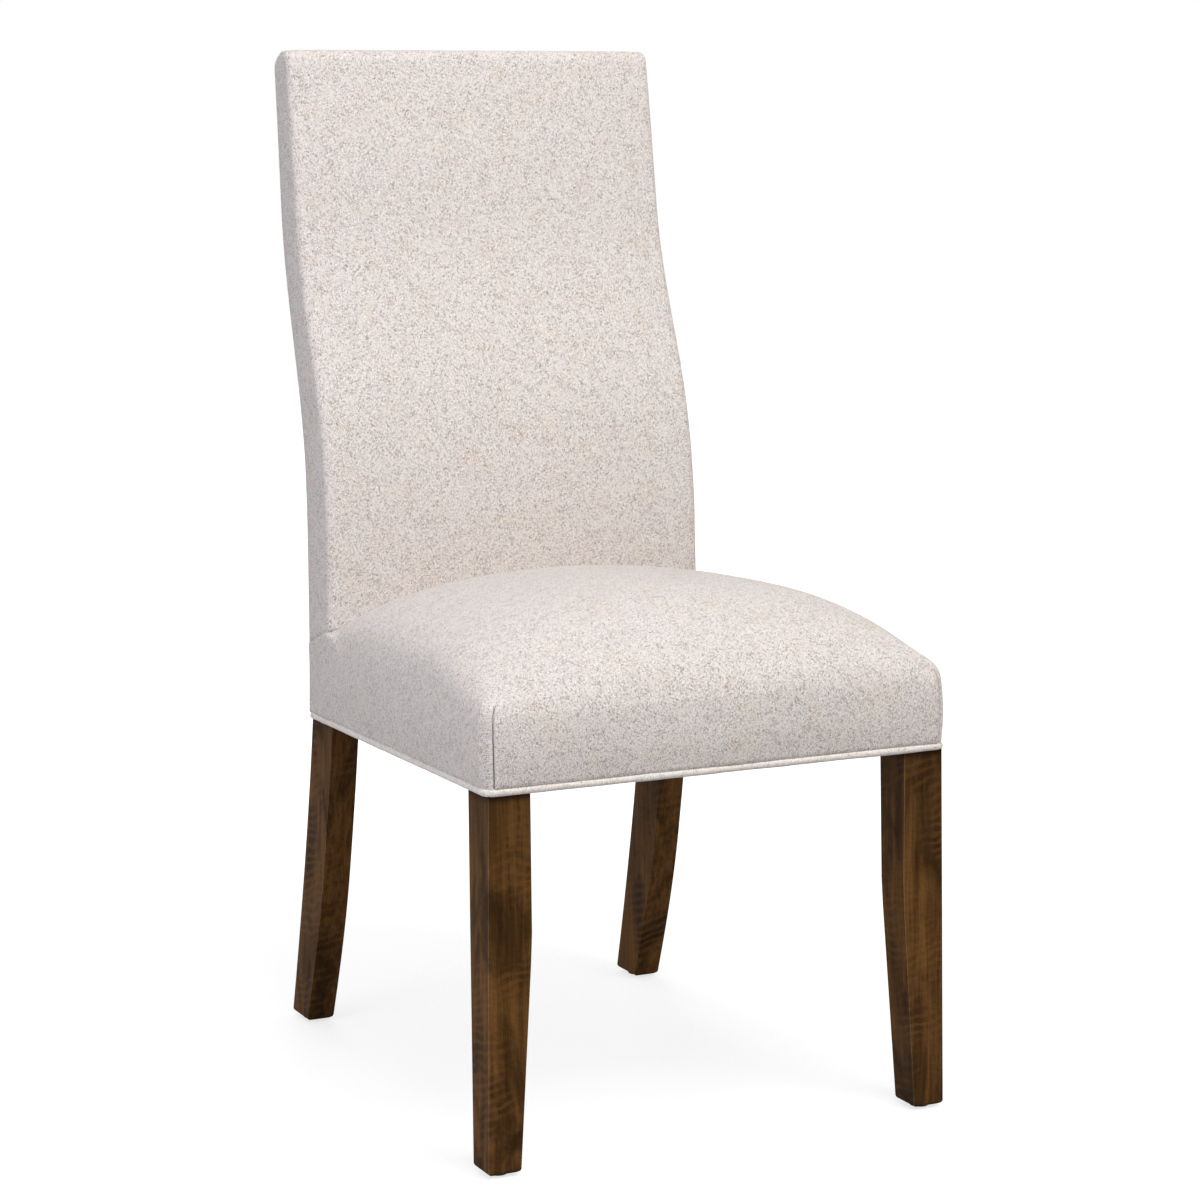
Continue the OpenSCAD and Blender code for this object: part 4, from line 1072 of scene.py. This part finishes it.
def set_world():
    """Soft light from all round, and plain white behind the chair."""
    world = bpy.data.worlds.new("studio")
    bpy.context.scene.world = world
    world.use_nodes = True
    tree = world.node_tree
    tree.nodes.clear()
    out = tree.nodes.new("ShaderNodeOutputWorld")
    both = tree.nodes.new("ShaderNodeMixShader")
    soft, white = tree.nodes.new("ShaderNodeBackground"), tree.nodes.new("ShaderNodeBackground")
    soft.inputs[0].default_value, soft.inputs[1].default_value = (0.96, 0.97, 1.0, 1), 0.45
    white.inputs[0].default_value, white.inputs[1].default_value = (1, 1, 1, 1), 1.0
    rays = tree.nodes.new("ShaderNodeLightPath")
    tree.links.new(rays.outputs["Is Camera Ray"], both.inputs[0])
    tree.links.new(soft.outputs[0], both.inputs[1])
    tree.links.new(white.outputs[0], both.inputs[2])
    tree.links.new(both.outputs[0], out.inputs[0])


def set_floor():
    """A pale floor that the camera sees as white, with no shade away from the chair."""
    mesh = bpy.data.meshes.new("floor")
    h = FLOOR_HALF
    mesh.from_pydata([(-h, -h, 0), (h, -h, 0), (h, h, 0), (-h, h, 0)], [], [(0, 1, 2, 3)])
    placed("floor", mesh)
    paint = Shader("floor_paint").set(rough=0.9, specular=0.1)
    paint.bsdf.inputs["Base Color"].default_value = (0.38, 0.38, 0.38, 1)
    paint.bsdf.inputs["Emission Color"].default_value = (1, 1, 1, 1)
    reach = paint.node("ShaderNodeVectorMath", operation="LENGTH")
    paint.link(paint.where, reach.inputs[0])
    glow = paint.span(reach.outputs["Value"], 0.55, 1.35, 0.72, 1.0)
    seen = paint.node("ShaderNodeLightPath").outputs["Is Camera Ray"]
    paint.link(paint.math("MULTIPLY", seen, glow), paint.bsdf.inputs["Emission Strength"])
    mesh.materials.append(paint.material)


set_camera()
area_light("key", (0.9, -2.5, 2.4), (0, 0, 0.6), 1.8, 22.8, (1.0, 0.985, 0.955))
area_light("top_front", (0.1, -1.3, 2.85), (0, 0, 0.6), 1.6, 42.0, (0.98, 0.98, 1.0))
area_light("rear_fill", (0.5, 2.9, 1.8), (0, 0.2, 0.7), 2.0, 30, (1.0, 0.99, 0.98))
area_light("side_fill", (-2.4, -0.7, 1.0), (0, 0, 0.5), 1.6, 22, (0.85, 0.87, 1.0))
bpy.context.scene.view_settings.view_transform = "Standard"
set_world()
set_floor()
